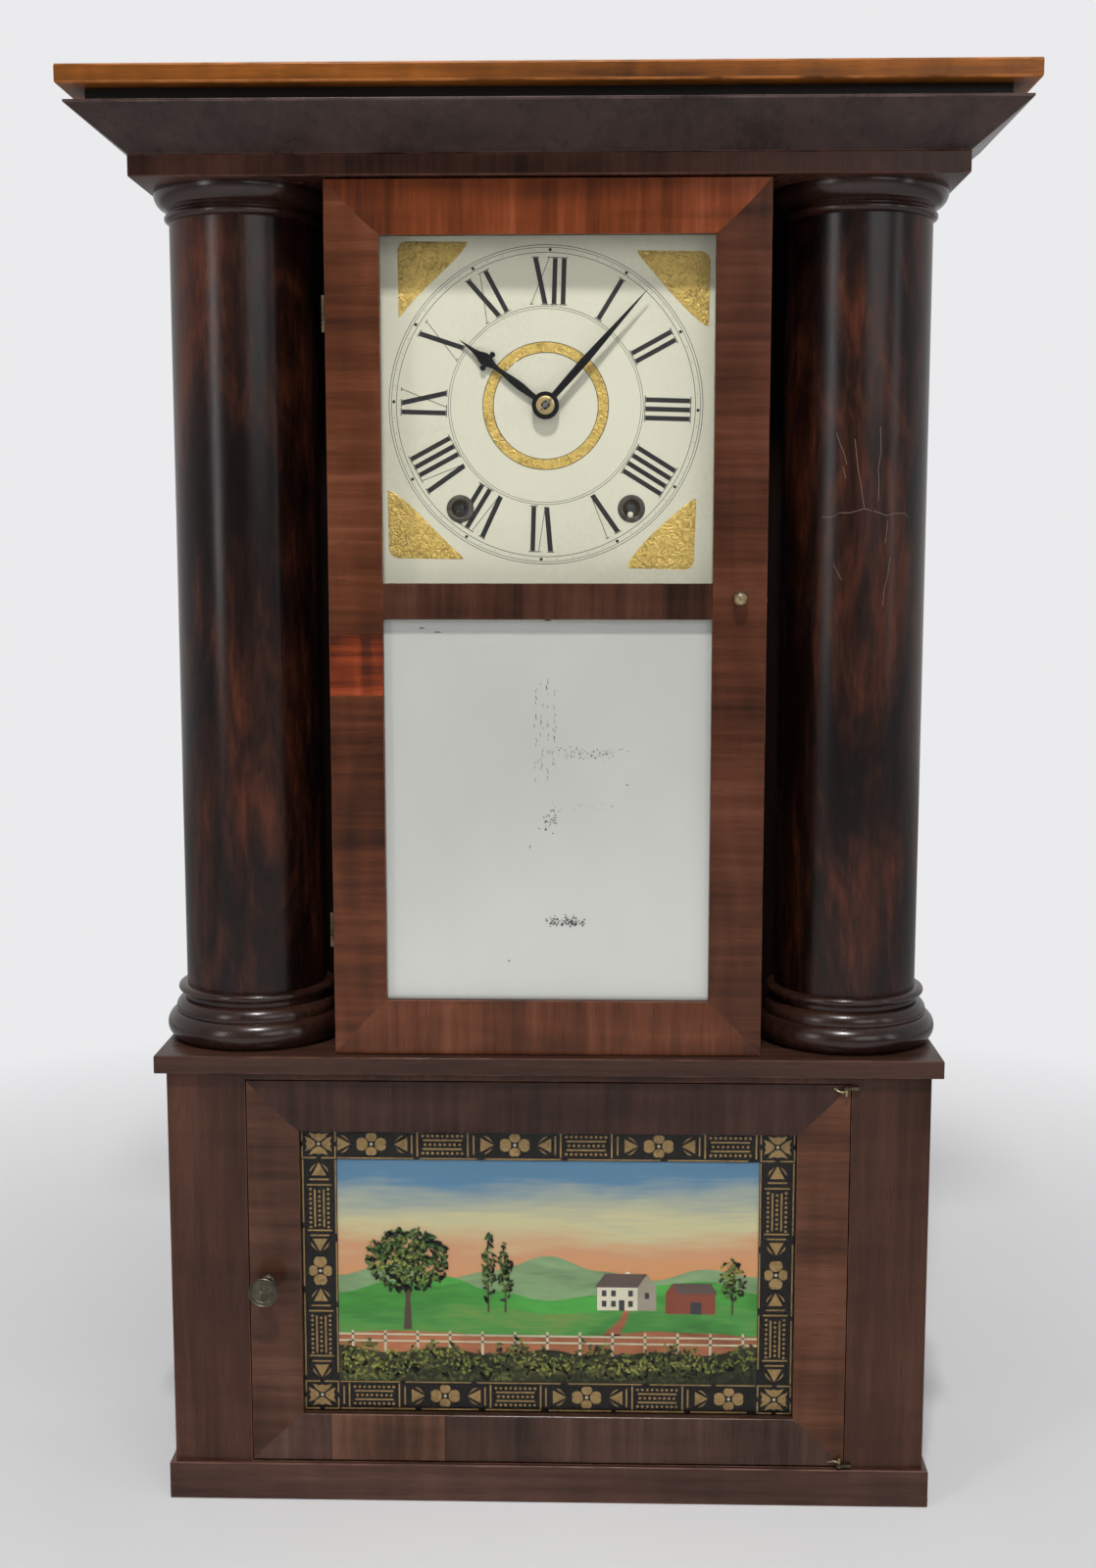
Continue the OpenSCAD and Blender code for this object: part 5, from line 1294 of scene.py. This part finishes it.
class CLOCK_OT_tablet(ClockStep):
    """Painted glass of the lower door: gilt border on black round a landscape"""

    bl_idname = "clock.tablet"
    bl_label = "Painted tablet"

    # The clear pane's thickness, and how far the border reaches under the door's frame
    pane, under = 1.1, 0.8

    # Length of the border's pattern, and where it starts along the lower band
    period, low_start = 91.8, -45.5

    def execute(self, context):
        t = context.scene.clock_tablet
        (x0, y0, z0), (x1, y1, z1) = node_box("tablet_glass")
        self.side, self.band = t.border_side / MM, t.border_top / MM
        self.inner = TABLET_HALF - self.side, TABLET_LOW + self.band, TABLET_TOP - self.band
        pane = y0 + self.pane
        self.layer_at = pane + 0.04
        self.layer_step = (y1 - pane - 0.1) / 14
        bm = bmesh.new()
        prism(bm, rect(x0, z0, x1, z1), y0, pane)
        ease_edges(bm, list(bm.edges), 0.2, 1)
        self.put("tablet_pane", bm, own("tablet_glass_clear", clear_glass, 1.22))
        self.border(t)
        self.landscape(t)
        bm = bmesh.new()
        prism(bm, rect(x0 + 0.2, z0 + 0.2, x1 - 0.2, z1 - 0.2), y1 - 0.06, y1)
        self.put("tablet_backing", bm, own("tablet_back_paint", painted, srgb(58, 50, 44), 0.7, 0.3, 40))
        return {"FINISHED"}

    def put(self, name, bm, finish):
        piece(name, bm, finish, "lower_door", ["tablet_glass"], 30)

    def layer(self, name, depth, outlines, finish):
        """Flat strokes of one paint, at their depth behind the glass."""
        bm = bmesh.new()
        front = self.layer_at + self.layer_step * depth
        for outline in outlines:
            prism(bm, outline, front, front + self.layer_step * 0.7)
        self.put(name, bm, finish)

    def border(self, t):
        """Black bands with the gilt pattern stencilled along them."""
        inner_x, low, top = self.inner
        x, z0, z1 = TABLET_HALF + self.under, TABLET_LOW - self.under, TABLET_TOP + self.under
        bands = [rect(-x, z0, x, low), rect(-x, top, x, z1),
                 rect(-x, low, -inner_x, top), rect(inner_x, low, x, top)]
        black = own("border_black", painted, t.border, 0.6, 0.1, 60, 0.01, gloss=0.05)
        self.layer("tablet_border", 1, bands, black)
        self.gilt, self.eyes = [], []
        self.chance = random.Random(77)
        self.length, self.width = 2 * inner_x, self.band
        for edge, flip, start in ((TABLET_TOP, 1, 0.0), (TABLET_LOW, -1, self.low_start)):
            self.placed = lambda s, v, e=edge, f=flip: (s - inner_x, e - f * v)
            self.run_of_motifs(start)
            self.edge_lines()
        self.length, self.width = top - low, self.side
        for flip in (-1, 1):
            self.placed = lambda s, v, f=flip: (f * (TABLET_HALF - v), top - s)
            self.side_motifs()
            self.edge_lines()
        across = TABLET_HALF - self.side / 2
        down = (TABLET_TOP - TABLET_LOW) / 2 - self.band / 2
        for fx in (-1, 1):
            for fz in (-1, 1):
                self.corner_square(fx * across, mid(TABLET_LOW, TABLET_TOP) + fz * down)
        self.layer("tablet_gilt", 0, self.gilt, own("border_gilt", gilding, t.gilt))
        self.layer("tablet_eyes", -0.6, self.eyes, own("border_cream", painted, srgb(196, 190, 168), 0.4))

    def mark(self, outline):
        """Adds gilt given along and across the present run, a little uneven as stencilled work is."""
        shift = self.chance.uniform(-0.12, 0.12)
        self.gilt.append([self.placed(a + shift, b) for a, b in outline])

    def eye(self, at, across):
        """Adds a cream dot."""
        self.eyes.append([self.placed(a, b) for a, b in oval(at, across, 1.0, 1.0)])

    def bar(self, at, long):
        c = self.width / 2
        self.mark(rect(at - 0.5, c - long / 2, at + 0.5, c + long / 2))

    def pointer(self, base, way):
        """Triangle with a small leaf on either side of its point."""
        c = self.width / 2
        self.mark([(base, c - 4.6), (base + way * 8.5, c), (base, c + 4.6)])
        for v in (-1, 1):
            self.mark([(base + way * a, c + v * b)
                       for a, b in ((8.0, 1.7), (5.3, 4.9), (3.2, 5.9), (2.4, 5.6), (5.0, 3.9))])

    def panel(self, at):
        """Three rows of dots between two lines."""
        c = self.width / 2
        for row, count in ((-5.7, 9), (0, 8), (5.7, 9)):
            for k in range(count):
                s = at + 13.7 + (k - (count - 1) / 2) * 3.15
                self.mark(oval(s, c + row, self.chance.uniform(0.85, 1.0), self.chance.uniform(0.8, 1.0), 8))
        for row in (-2.9, 2.9):
            self.mark(rect(at + 1.2, c + row - 0.55, at + 26.2, c + row + 0.55))

    def quarter(self, outline, turn, scale=(1, 1), at=0, across=0):
        """Adds an outline turned by a number of quarters about a place on the run."""
        (ka, kb), ca, sa = scale, (1, 0, -1, 0)[turn], (0, 1, 0, -1)[turn]
        self.mark([(at + ca * a * ka - sa * b * kb, across + sa * a * ka + ca * b * kb) for a, b in outline])

    def flower(self, at):
        """Four rounded petals about a cream eye."""
        half = [(2.3, 0.9), (2.9, 2.5), (4.4, 3.9), (6.4, 4.3), (8.4, 3.6), (9.5, 2.0), (9.3, 0.7),
                (8.9, 0.0)]
        petal = half + [(a, -b) for a, b in half[-2::-1]]
        for turn in range(4):
            self.quarter(petal, turn, (0.78, 0.82) if turn % 2 else (1, 1), at, self.width / 2)
        self.eye(at, self.width / 2)

    def run_of_motifs(self, at):
        """Pattern repeated along the run, leaving out any motif that would reach past an end."""
        # Place in the pattern, reach before and after it, what is drawn and its value
        steps = ((0.5, 0.6, 9, self.pointer, 1), (22.3, 10, 10, self.flower),
                 (45.4, 9, 0.6, self.pointer, -1), (48.2, 0.6, 1, self.bar, 12.3),
                 (51.7, 0.6, 1, self.bar, 15.8), (54.2, 0.6, 27.6, self.panel),
                 (84.2, 0.6, 1, self.bar, 15.8), (87.8, 0.6, 1, self.bar, 12.3))
        while at < self.length:
            for offset, before, after, draw, *value in steps:
                if at + offset - before > -0.5 and at + offset + after < self.length + 0.5:
                    draw(at + offset, *value)
            at += self.period

    def side_motifs(self):
        """Pattern of an upright band, stretched to its length."""
        k = self.length / 153.0
        self.pointer(11.1 * k, -1)
        for at, long in ((13.8, 12.3), (17.6, 15.8), (48.9, 15.8), (52.3, 12.3), (101.1, 12.3), (104.7, 15.8),
                         (136.2, 15.8), (139.7, 12.3)):
            self.bar(at * k, long)
        self.panel(19.6 * k)
        self.pointer(54.7 * k, 1)
        self.flower(76.9 * k)
        self.pointer(98.0 * k, -1)
        self.panel(107.0 * k)
        self.pointer(142.4 * k, 1)

    def edge_lines(self):
        """Broken lines along both edges of the band."""
        for v, thick in ((1.1, 1.0), (self.width - 0.9, 0.8)):
            s = 0.5
            while s < self.length - 6:
                stop = min(self.length - 0.5, s + self.chance.uniform(36, 62))
                self.mark(rect(s, v - thick / 2, stop, v + thick / 2))
                s = stop + self.chance.uniform(3, 6)

    def corner_square(self, cx, cz):
        """Four wings about a cream eye, with a line on each side of the square."""
        self.placed = lambda a, b: (cx + a, cz + b)
        wing = [(2.2, 1.2), (5.0, 3.9), (8.8, 5.6), (7.4, 1.9), (8.3, 0.0)]
        wing += [(a, -b) for a, b in wing[-2::-1]]
        for turn in range(4):
            self.quarter(wing, turn, (0.84, 1.1) if turn % 2 else (1.0, 0.88))
            out, along = (self.band, self.side) if turn % 2 else (self.side, self.band)
            x, y = out / 2 - 0.9, along / 2 - 0.6
            for start, stop in ((-y, -1.8), (1.6, y)):
                self.quarter(rect(x - 0.45, start, x + 0.45, stop), turn)
        self.eye(0, 0)

    def sky(self, t):
        """Evening sky, blue above and orange over the hills."""
        f = Finish("painted_sky", specular=0.1, roughness=0.5)
        split = f.tree.nodes.new("ShaderNodeSeparateXYZ")
        f.tree.links.new(f.coords, split.inputs[0])
        height = f.add("MapRange", {"Value": split.outputs["Z"], "From Min": (self.inner[1] + 62) * MM,
                                    "From Max": self.inner[2] * MM})
        drift = f.noise((9, 9, 50), 3, bend=0.5)
        stroke = f.noise((40, 40, 420), 2)
        place = f.add("Math", {0: height, 1: f.sum([(drift, 0.5), (stroke, 0.12)], 0.0)}, operation="ADD")
        f.set("Base Color", f.ramp(place, [
            (0.02, t.sky_low), (0.3, shade(t.sky_low, 1.02, 0.2)), (0.52, t.sky_mid), (0.85, t.sky_high),
            (1.0, shade(t.sky_high, 0.86))]))
        f.bump(stroke, 0.03, 0.4)
        return f.material

    def land(self, name, colour, light, spread=1.0):
        """Brushed ground with lighter and darker strokes."""
        f = Finish(name, specular=0.08, roughness=0.5)
        patch = f.noise((14, 14, 40), 3, bend=0.6)
        stroke = f.noise((90, 90, 600), 3)
        f.set("Base Color", f.ramp(f.sum([(patch, 1.7 * spread), (stroke, 0.6)]), [
            (0.1, shade(colour, 0.5)), (0.5, colour), (0.9, light)]))
        f.bump(stroke, 0.05, 0.5)
        return f.material

    def ground(self, base, heights, foot):
        """Outline of a hill from its skyline down to its foot, both measured from a level."""
        x, count = self.inner[0], len(heights) - 1
        skyline = []
        for k in range(count * 6 + 1):
            i = min(k // 6, count - 1)
            ease = (1 - math.cos(math.pi * (k - 6 * i) / 6)) / 2
            skyline.append((-x + 2 * x * k / (count * 6), base + mid(heights[i], heights[i + 1], ease)))
        return [(-x, base + foot)] + skyline + [(x, base + foot)]

    def dabs(self, count, cx, cz, rx, rz, size, seed):
        """Brush dabs inside an oval, thinner towards its edge."""
        chance = random.Random(seed)
        x_end, low, top = self.inner
        made = []
        while len(made) < count:
            a, r = chance.uniform(0, 2 * math.pi), chance.random() ** 0.6
            x, z = cx + rx * r * math.cos(a), cz + rz * r * math.sin(a)
            if abs(x) < x_end - 1.5 and low + 1 < z < top - 1:
                long, wide = size * chance.uniform(0.7, 1.4), size * 0.55 * chance.uniform(0.7, 1.2)
                made.append(leaf(x, z, long, wide, chance.uniform(0, 180), 3))
        return made

    def landscape(self, t):
        """Farm in a valley, framed by trees, with a fence and a leafy bank in front."""
        x, low, top = self.inner
        base = low + 9
        self.layer("tablet_sky", 12, [rect(-x, base + 45, x, top)], self.sky(t))
        far = own("far_hill_paint", self.land, t.far_hill, shade(t.far_hill, 1.35))
        near = own("near_hill_paint", self.land, t.near_hill, shade(t.near_hill, 1.6))
        field = own("field_paint", self.land, shade(t.near_hill, 1.15, 0.1), srgb(128, 150, 78))
        road = own("road_paint", self.land, t.road, shade(t.road, 1.4))
        dark = own("hedge_paint", self.land, t.hedge, srgb(116, 118, 58), 1.3)
        deep = own("deep_leaf_paint", self.land, shade(t.hedge, 0.42), shade(t.hedge, 1.2))
        bright = own("bright_leaf_paint", self.land, srgb(118, 126, 56), srgb(176, 170, 84))
        leafy = own("tree_paint", self.land, srgb(58, 92, 44), srgb(122, 140, 62))
        bark = own("bark_paint", painted, srgb(78, 60, 46), 0.4, 0.3, 160)
        lane = [(x, base + z) for x, z in ((34, 22), (46, 22), (51, 33), (54, 43), (51, 43), (46, 33))]
        for name, depth, foot, heights, more, finish in (
                ("tablet_far_hills", 10, 36, (62, 70, 60, 66, 76, 66, 60, 68, 63), [], far),
                ("tablet_near_hills", 9, 20, (50, 58, 62, 52, 46, 50, 57, 60, 52), [], near),
                ("tablet_field", 8, 16, (36, 40, 44, 41, 37, 38, 42, 45, 41), [], field),
                ("tablet_road", 7, 10, (23, 25, 24, 22, 21, 23, 26, 25, 23), [lane], road)):
            self.layer(name, depth, [self.ground(base, heights, foot)] + more, finish)
        self.farm(base + 40)
        self.trees(base, leafy, deep, bright, bark)
        self.bank(low, dark, deep, bright)

    def farm(self, z):
        """House and barn standing at a level."""
        wall = own("wall_paint", painted, srgb(222, 214, 190), 0.4, 0.12, 160)
        shadow = own("wall_shadow_paint", painted, srgb(160, 150, 132), 0.4, 0.12, 160)
        barn = own("barn_paint", painted, srgb(134, 62, 42), 0.4, 0.25, 160)
        roof = own("roof_paint", painted, srgb(92, 72, 66), 0.4, 0.25, 160)
        window = own("window_paint", painted, srgb(52, 50, 52), 0.4)
        self.layer("tablet_walls", 5, [rect(32, z, 58, z + 16), rect(50, z + 26, 53, z + 21)], wall)
        self.layer("tablet_gables", 5, [[(58, z), (70, z), (70, z + 16), (64, z + 24), (58, z + 16)]], shadow)
        self.layer("tablet_barn", 5, [
            rect(84, z - 2, 108, z + 12),
            [(76, z - 2), (84, z - 2), (84, z + 12), (80, z + 18), (76, z + 12)]], barn)
        self.layer("tablet_roofs", 4, [
            [(30.5, z + 15.5), (58, z + 15.5), (64, z + 24.5), (37, z + 24.5)],
            [(84, z + 11.5), (109.5, z + 11.5), (105, z + 18.5), (80, z + 18.5)]], roof)
        panes = [rect(a, z + b, a + 3, z + b + 4) for a in (35, 41, 52) for b in (9.5, 2.5)]
        panes += [rect(46, z, 49.6, z + 7), rect(62.6, z + 8, 65.4, z + 12), rect(92, z - 2, 99, z + 6)]
        self.layer("tablet_windows", 4, panes, window)

    def trees(self, base, leafy, deep, bright, bark):
        """Large tree on the left, two poplars, and a small tree on the right."""
        poplars = ((-38, 92), (-27, 84))
        trunks = [[(x, base + z) for x, z in ((-93, 26), (-87.5, 26), (-88.6, 48), (-86, 60), (-89.4, 52),
                                              (-93.6, 62), (-91.6, 48))]]
        trunks += [post(x, base + 38, base + 56, 0.7, 0.4) for x in (-38, -27, 119)]
        self.layer("tablet_trunks", 4, trunks, bark)
        dim = self.dabs(230, -90, base + 72, 27, 21, 5.5, 1) + self.dabs(40, 119, base + 60, 8, 14, 4, 2)
        lit = self.dabs(190, -91, base + 74, 26, 20, 4.2, 7) + self.dabs(46, 118, base + 62, 7, 13, 3.2, 8)
        for k, (x, high) in enumerate(poplars):
            dim += self.dabs(46, x, base + (high + 44) / 2, 4.4, (high - 44) / 2, 4, 3 + k)
            lit += self.dabs(40, x - 0.6, base + (high + 48) / 2, 3.6, (high - 46) / 2, 3, 9 + k)
        light = self.dabs(70, -96, base + 79, 19, 14, 2.8, 12) + self.dabs(16, 116, base + 66, 5, 8, 2.2, 13)
        self.layer("tablet_tree_shade", 3, dim, deep)
        self.layer("tablet_tree_leaves", 2, lit, leafy)
        self.layer("tablet_tree_light", 1.2, light, bright)

    def bank(self, base, dark, deep, bright):
        """Bank of leaves along the bottom, with a rail fence behind it."""
        x = self.inner[0]
        rails = [[(-x, z), (x, z - 1), (x, z + 0.3), (-x, z + 1.3)] for z in (base + 31, base + 26.5)]
        rails += [post(a, base + 18, base + 34, 0.9, 0.8) for a in range(-126, 134, 21)]
        self.layer("tablet_fence", 3, rails, own("fence_paint", painted, srgb(206, 192, 160), 0.4, 0.25, 160))
        self.layer("tablet_bank", 2.4, [self.ground(base, (24, 19, 23, 17, 22, 16, 21, 19, 25), 0)], deep)
        chance = random.Random(41)
        first, second = [], []
        clumps = 64
        for k in range(clumps):
            cx = mid(2 - x, x - 2, k / (clumps - 1))
            high = 21 + 4.5 * math.sin(k * 0.53) + 3 * math.sin(k * 1.9) + chance.uniform(-2, 2)
            first += self.dabs(15, cx, base + high * 0.52, 3.4, high * 0.55, 4.2, 100 + k)
            second += self.dabs(6, cx, base + high * 0.72, 3.2, high * 0.38, 2.8, 300 + k)
        self.layer("tablet_bank_leaves", 1.2, first, dark)
        self.layer("tablet_bank_light", 0.2, second, bright)


class CLOCK_OT_fittings(ClockStep):
    """Knobs, hinges and wires of the two doors"""

    bl_idname = "clock.fittings"
    bl_label = "Knobs and hinges"

    # Steel stud on the trunk: how far its middle is past the side, its height and its radius
    stud_out, stud_height, stud_radius = 2.3, 581.0, 4.5
    stud_colour = (0.55, 0.53, 0.47)

    # Clearance between a knob's foot and the door, and half the width of a catch
    clear, catch_half = 0.03, 2

    # Radius of a hinge wire and of the arm that goes into the door
    wire_radius, arm_radius = 0.95, 0.7

    def execute(self, context):
        fitting = context.scene.clock_fittings
        old = own("old_brass", metal, fitting.brass, 0.4, 0.55)
        dull = own("dull_brass", metal, shade(fitting.brass, 0.34, 0.45), 0.42, 0.4)
        side = node_box("trunk_sides")[1][0]
        stud = (side + self.stud_out, self.stud_height, self.stud_radius, self.stud_colour)
        butts = own("butt_brass", metal, shade(fitting.brass, 0.42, 0.1), 0.45, 0.55, None, stud)
        dress("hinge_fixings", butts)
        dress("butt_leaves", butts)
        self.ball_knob(old)
        self.disc_knob(dull)
        self.wires(old)
        return {"FINISHED"}

    def catch(self, bm, x, back, low, high):
        """Turning catch behind the door, rounded at its ends."""
        half = self.catch_half
        outline = arc(x, low + half, half, 180, 360, 6) + arc(x, high - half, half, 0, 180, 6)
        prism(bm, outline, back - 1.5, back)

    def ball_knob(self, finish):
        """Turned ball on a short neck with a collar."""
        (x0, y0, z0), (x1, y1, z1) = node_box("upper_knob")
        door = node_box("upper_door_frame")[0][1]
        x, r = mid(x0, x1), (x1 - x0) / 2
        z = z1 - r
        foot, end = door - self.clear, y1 - 0.1
        bm = bmesh.new()
        profile = [(0.0, y0 + 0.02)] + arc(0, y0 + r, r, -82, 53, 15)
        profile += [(1.9, door - 1.7), (2.2, door - 1.3), (3.2, door - 1.15), (3.4, door - 0.8), (3.4, foot),
                    (2.0, foot), (2.0, end), (0.0, end)]
        turned(bm, profile, (x, 0, z), "Y", 48)
        self.catch(bm, x, y1, z0, z + 2)
        piece("upper_knob_turned", bm, finish, "upper_knob", ["upper_knob"], 40)

    def disc_knob(self, finish):
        """Thin pressed disc with a beaded rim and a five-armed star, on a flared neck."""
        (x0, y0, z0), (x1, y1, z1) = node_box("lower_knob")
        door = node_box("lower_door_frame")[0][1]
        x, r = mid(x0, x1), (x1 - x0) / 2
        z = z0 + r
        foot, end = door - self.clear, y1 - 0.1
        bm = bmesh.new()
        profile = [(0.0, y0 + 1.0), (0.6, y0 + 0.9), (r - 3.2, y0 + 0.75), (r - 2.6, y0 + 0.35),
                   (r - 2.2, y0 + 0.6), (r - 1.2, y0 + 0.7), (r - 0.9, y0 + 0.25), (r - 0.45, y0),
                   (r - 0.05, y0 + 0.35), (r, y0 + 0.9), (r - 0.2, y0 + 1.5), (r - 1.6, y0 + 2.4),
                   (r - 4.2, y0 + 4.6), (4.1, y0 + 7.6), (3.6, y0 + 10.5), (3.9, door - 2.2),
                   (5.2, door - 0.8), (5.4, foot), (2.0, foot), (2.0, end), (0.0, end)]
        turned(bm, profile, (x, 0, z), "Y", 64)
        for k in range(5):
            a = math.radians(38 + 72 * k)
            c, s = math.cos(a), math.sin(a)
            rings = []
            for run, half in ((0.5, 0.5), (1.6, 0.62), (3.2, 0.5), (4.9, 0.12)):
                ring = [(-half, y0 + 1.1), (0, y0 + 0.5), (half, y0 + 1.1)]
                rings.append([(x + run * c - u * s, y, z + run * s + u * c) for u, y in ring])
            skin(bm, rings)
        self.catch(bm, x, y1, z - 2, z1)
        piece("lower_knob_turned", bm, finish, "lower_knob", ["lower_knob"], 30)

    def wires(self, finish):
        """Bent wire pins in the eyes of the lower door, each with its arm into the door."""
        (x0, y0, z0), (x1, front, z1) = node_box("hinge_pins")
        x, y = mid(x0, x1), y0 + 1
        for name, foot, at, way in (("top", z1 - 6.6, z1 - 2.2, 1), ("foot", z0 + 6.6, z0 + 2.2, -1)):
            bm = bmesh.new()
            pin = [(x, y, mid(foot, at, k / 8)) for k in range(9)]
            pin += [(x, y, at + way * 2 * k / 3) for k in (1, 2, 3)]
            swept(bm, pin, lambda run: oval(0, 0, self.wire_radius, self.wire_radius, 12))
            base = foot + way * 3.4
            arm = []
            for t in [k / 8 for k in range(9)]:
                sag = 0.9 * math.sin(math.pi * t) - 1.2 * t ** 3
                arm.append((x - 7.2 * t, mid(y, front + 0.4, t ** 2), base - way * sag))
            swept(bm, arm, lambda run: oval(0, 0, self.arm_radius, self.arm_radius, 12))
            piece("hinge_wire_" + name, bm, finish, "lower_door", ["hinge_pins"], 50)


class CLOCK_OT_movement(ClockStep):
    """Brass plates and wheels, steel, weights, pulleys and gong"""

    bl_idname = "clock.movement"
    bl_label = "Movement and weights"

    # Wheels and drums with the radius of the steel arbor that shows in their middle
    arbors = {"time_great_wheel": 3.1, "strike_great_wheel": 3.1, "time_drum": 3.1, "strike_drum": 3.1,
              "second_wheel": 3.6, "third_wheel": 3.6, "escape_wheel": 3.6, "pin_wheel": 3.6}

    def execute(self, context):
        fitting = context.scene.clock_fittings
        bright, grey = shade(fitting.movement, 1.08), shade(fitting.steel, 0.4)
        for node, radius in self.arbors.items():
            (x0, _, z0), (x1, _, z1) = node_box(node)
            arbor = (mid(x0, x1), mid(z0, z1), radius, grey)
            dress(node, own(node + "_brass", metal, bright, 0.3, 0.25, None, arbor))
        for finish, nodes in (
                (own("plate_brass", metal, fitting.movement, 0.34, 0.3, (60, 60, 1500)),
                 ("front_plate", "back_plate", "pendulum_cock")),
                (own("wheel_brass", metal, bright, 0.3, 0.25),
                 ("fly", "minute_wheel", "cannon_wheel", "hour_wheel", "pendulum_bob")),
                (own("bright_steel", metal, fitting.steel),
                 ("plate_pillars", "verge", "pendulum_rod", "hammer", "pulley_axles")),
                (own("blued_gong", metal, shade(fitting.steel, 0.35), 0.4, 0.3), ("gong",)),
                (own("pulley_wood", turned_wood, srgb(134, 98, 60), 0.5),
                 ("time_pulley_inner", "time_pulley_outer", "strike_pulley_inner", "strike_pulley_outer")),
                (own("weight_iron", cast_iron, fitting.iron), ("time_weight", "strike_weight"))):
            for node in nodes:
                dress(node, finish)
        return {"FINISHED"}


class CLOCK_OT_cords(ClockStep):
    """Weight cords, laid in three strands, from the drums over the pulleys to the weights"""

    bl_idname = "clock.cords"
    bl_label = "Weight cords"

    # Radius of the cord's middle round a pulley and round a drum
    on_pulley, on_drum = 9.8, 20.1

    # Length of one twist of the cord, its least radius, and how far its strands rise from that
    twist, least, ridge = 5.0, 0.86, 0.12

    def execute(self, context):
        finish = own("cotton_cord", cotton, context.scene.clock_fittings.cord)
        self.cord("time", 1, finish)
        self.cord("strike", -1, finish)
        return {"FINISHED"}

    def cord(self, side, way, finish):
        """One cord: wound and led over its pulleys, and the drop to the weight as a piece of its own."""
        inner, outer = (node_box(side + part) for part in ("_pulley_inner", "_pulley_outer"))
        y, pulley_z = mid(inner[0][1], inner[1][1]), mid(inner[0][2], inner[1][2])
        xi, xo = mid(inner[0][0], inner[1][0]), mid(outer[0][0], outer[1][0])
        rise = xi - way * self.on_pulley
        drum_z = pivot(side + "_drum_turn")[1]
        hook = node_box(side + "_weight")[1][2] + 0.25

        def bend(x, z, r, degrees):
            angles = [math.radians(a) for a in degrees]
            return [(x + way * r * math.cos(a), z + r * math.sin(a)) for a in angles]

        path = bend(rise - way * self.on_drum, drum_z, self.on_drum, range(20, 361, 4))
        path += [(rise, mid(drum_z, pulley_z, k / 150)) for k in range(1, 151)]
        path += bend(xi, pulley_z, self.on_pulley, range(174, 89, -6))
        path += [(mid(xi, xo, k / 70), pulley_z + self.on_pulley) for k in range(1, 71)]
        path += bend(xo, pulley_z, self.on_pulley, range(84, -1, -6))
        self.laid(side + "_cord_still", path, y, finish, side)
        drop = [(xo + way * self.on_pulley, mid(pulley_z, hook, k / 300)) for k in range(301)]
        made = self.laid(side + "_cord_drop", drop, y, finish, side)
        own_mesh(made)

    def laid(self, name, path, y, finish, side):
        """Tube with three strands twisted round each other."""
        def section(run):
            twist = 2 * math.pi * run / self.twist
            ring = []
            for k in range(12):
                a = 2 * math.pi * k / 12
                r = self.least + self.ridge * abs(math.cos(1.5 * (a - twist)))
                ring.append((r * math.cos(a), r * math.sin(a)))
            return ring

        bm = bmesh.new()
        swept(bm, [(x, y, z) for x, z in path], section)
        return piece(name, bm, finish, "case", [side + "_cord"], 60)


OPERATORS = (
    CLOCK_OT_stage,
    CLOCK_OT_case,
    CLOCK_OT_columns,
    CLOCK_OT_upper_door,
    CLOCK_OT_lower_door,
    CLOCK_OT_dial,
    CLOCK_OT_hands,
    CLOCK_OT_tablet,
    CLOCK_OT_fittings,
    CLOCK_OT_movement,
    CLOCK_OT_cords,
)
GROUPS = (
    ("clock_woods", ClockWoods),
    ("clock_dial", ClockDial),
    ("clock_tablet", ClockTablet),
    ("clock_fittings", ClockFittings),
    ("clock_stage", ClockStage),
)


class CLOCK_PT_panel(bpy.types.Panel):
    """Sizes, colours and steps of the clock"""

    bl_idname = "CLOCK_PT_panel"
    bl_label = "Shelf clock"
    bl_space_type = "VIEW_3D"
    bl_region_type = "UI"
    bl_category = "Clock"

    def draw(self, context):
        for name, group in GROUPS:
            box = self.layout.box()
            box.label(text=group.__doc__)
            for key in group.__annotations__:
                box.prop(getattr(context.scene, name), key)
        for step in OPERATORS:
            self.layout.operator(step.bl_idname)


def register():
    for name, group in GROUPS:
        bpy.utils.register_class(group)
        setattr(bpy.types.Scene, name, bpy.props.PointerProperty(type=group))
    for step in OPERATORS:
        bpy.utils.register_class(step)
    bpy.utils.register_class(CLOCK_PT_panel)


def unregister():
    bpy.utils.unregister_class(CLOCK_PT_panel)
    for step in reversed(OPERATORS):
        bpy.utils.unregister_class(step)
    for name, group in reversed(GROUPS):
        delattr(bpy.types.Scene, name)
        bpy.utils.unregister_class(group)


def main():
    register()
    for step in OPERATORS:
        family, name = step.bl_idname.split(".")
        getattr(getattr(bpy.ops, family), name)()


if __name__ == "__main__":
    main()
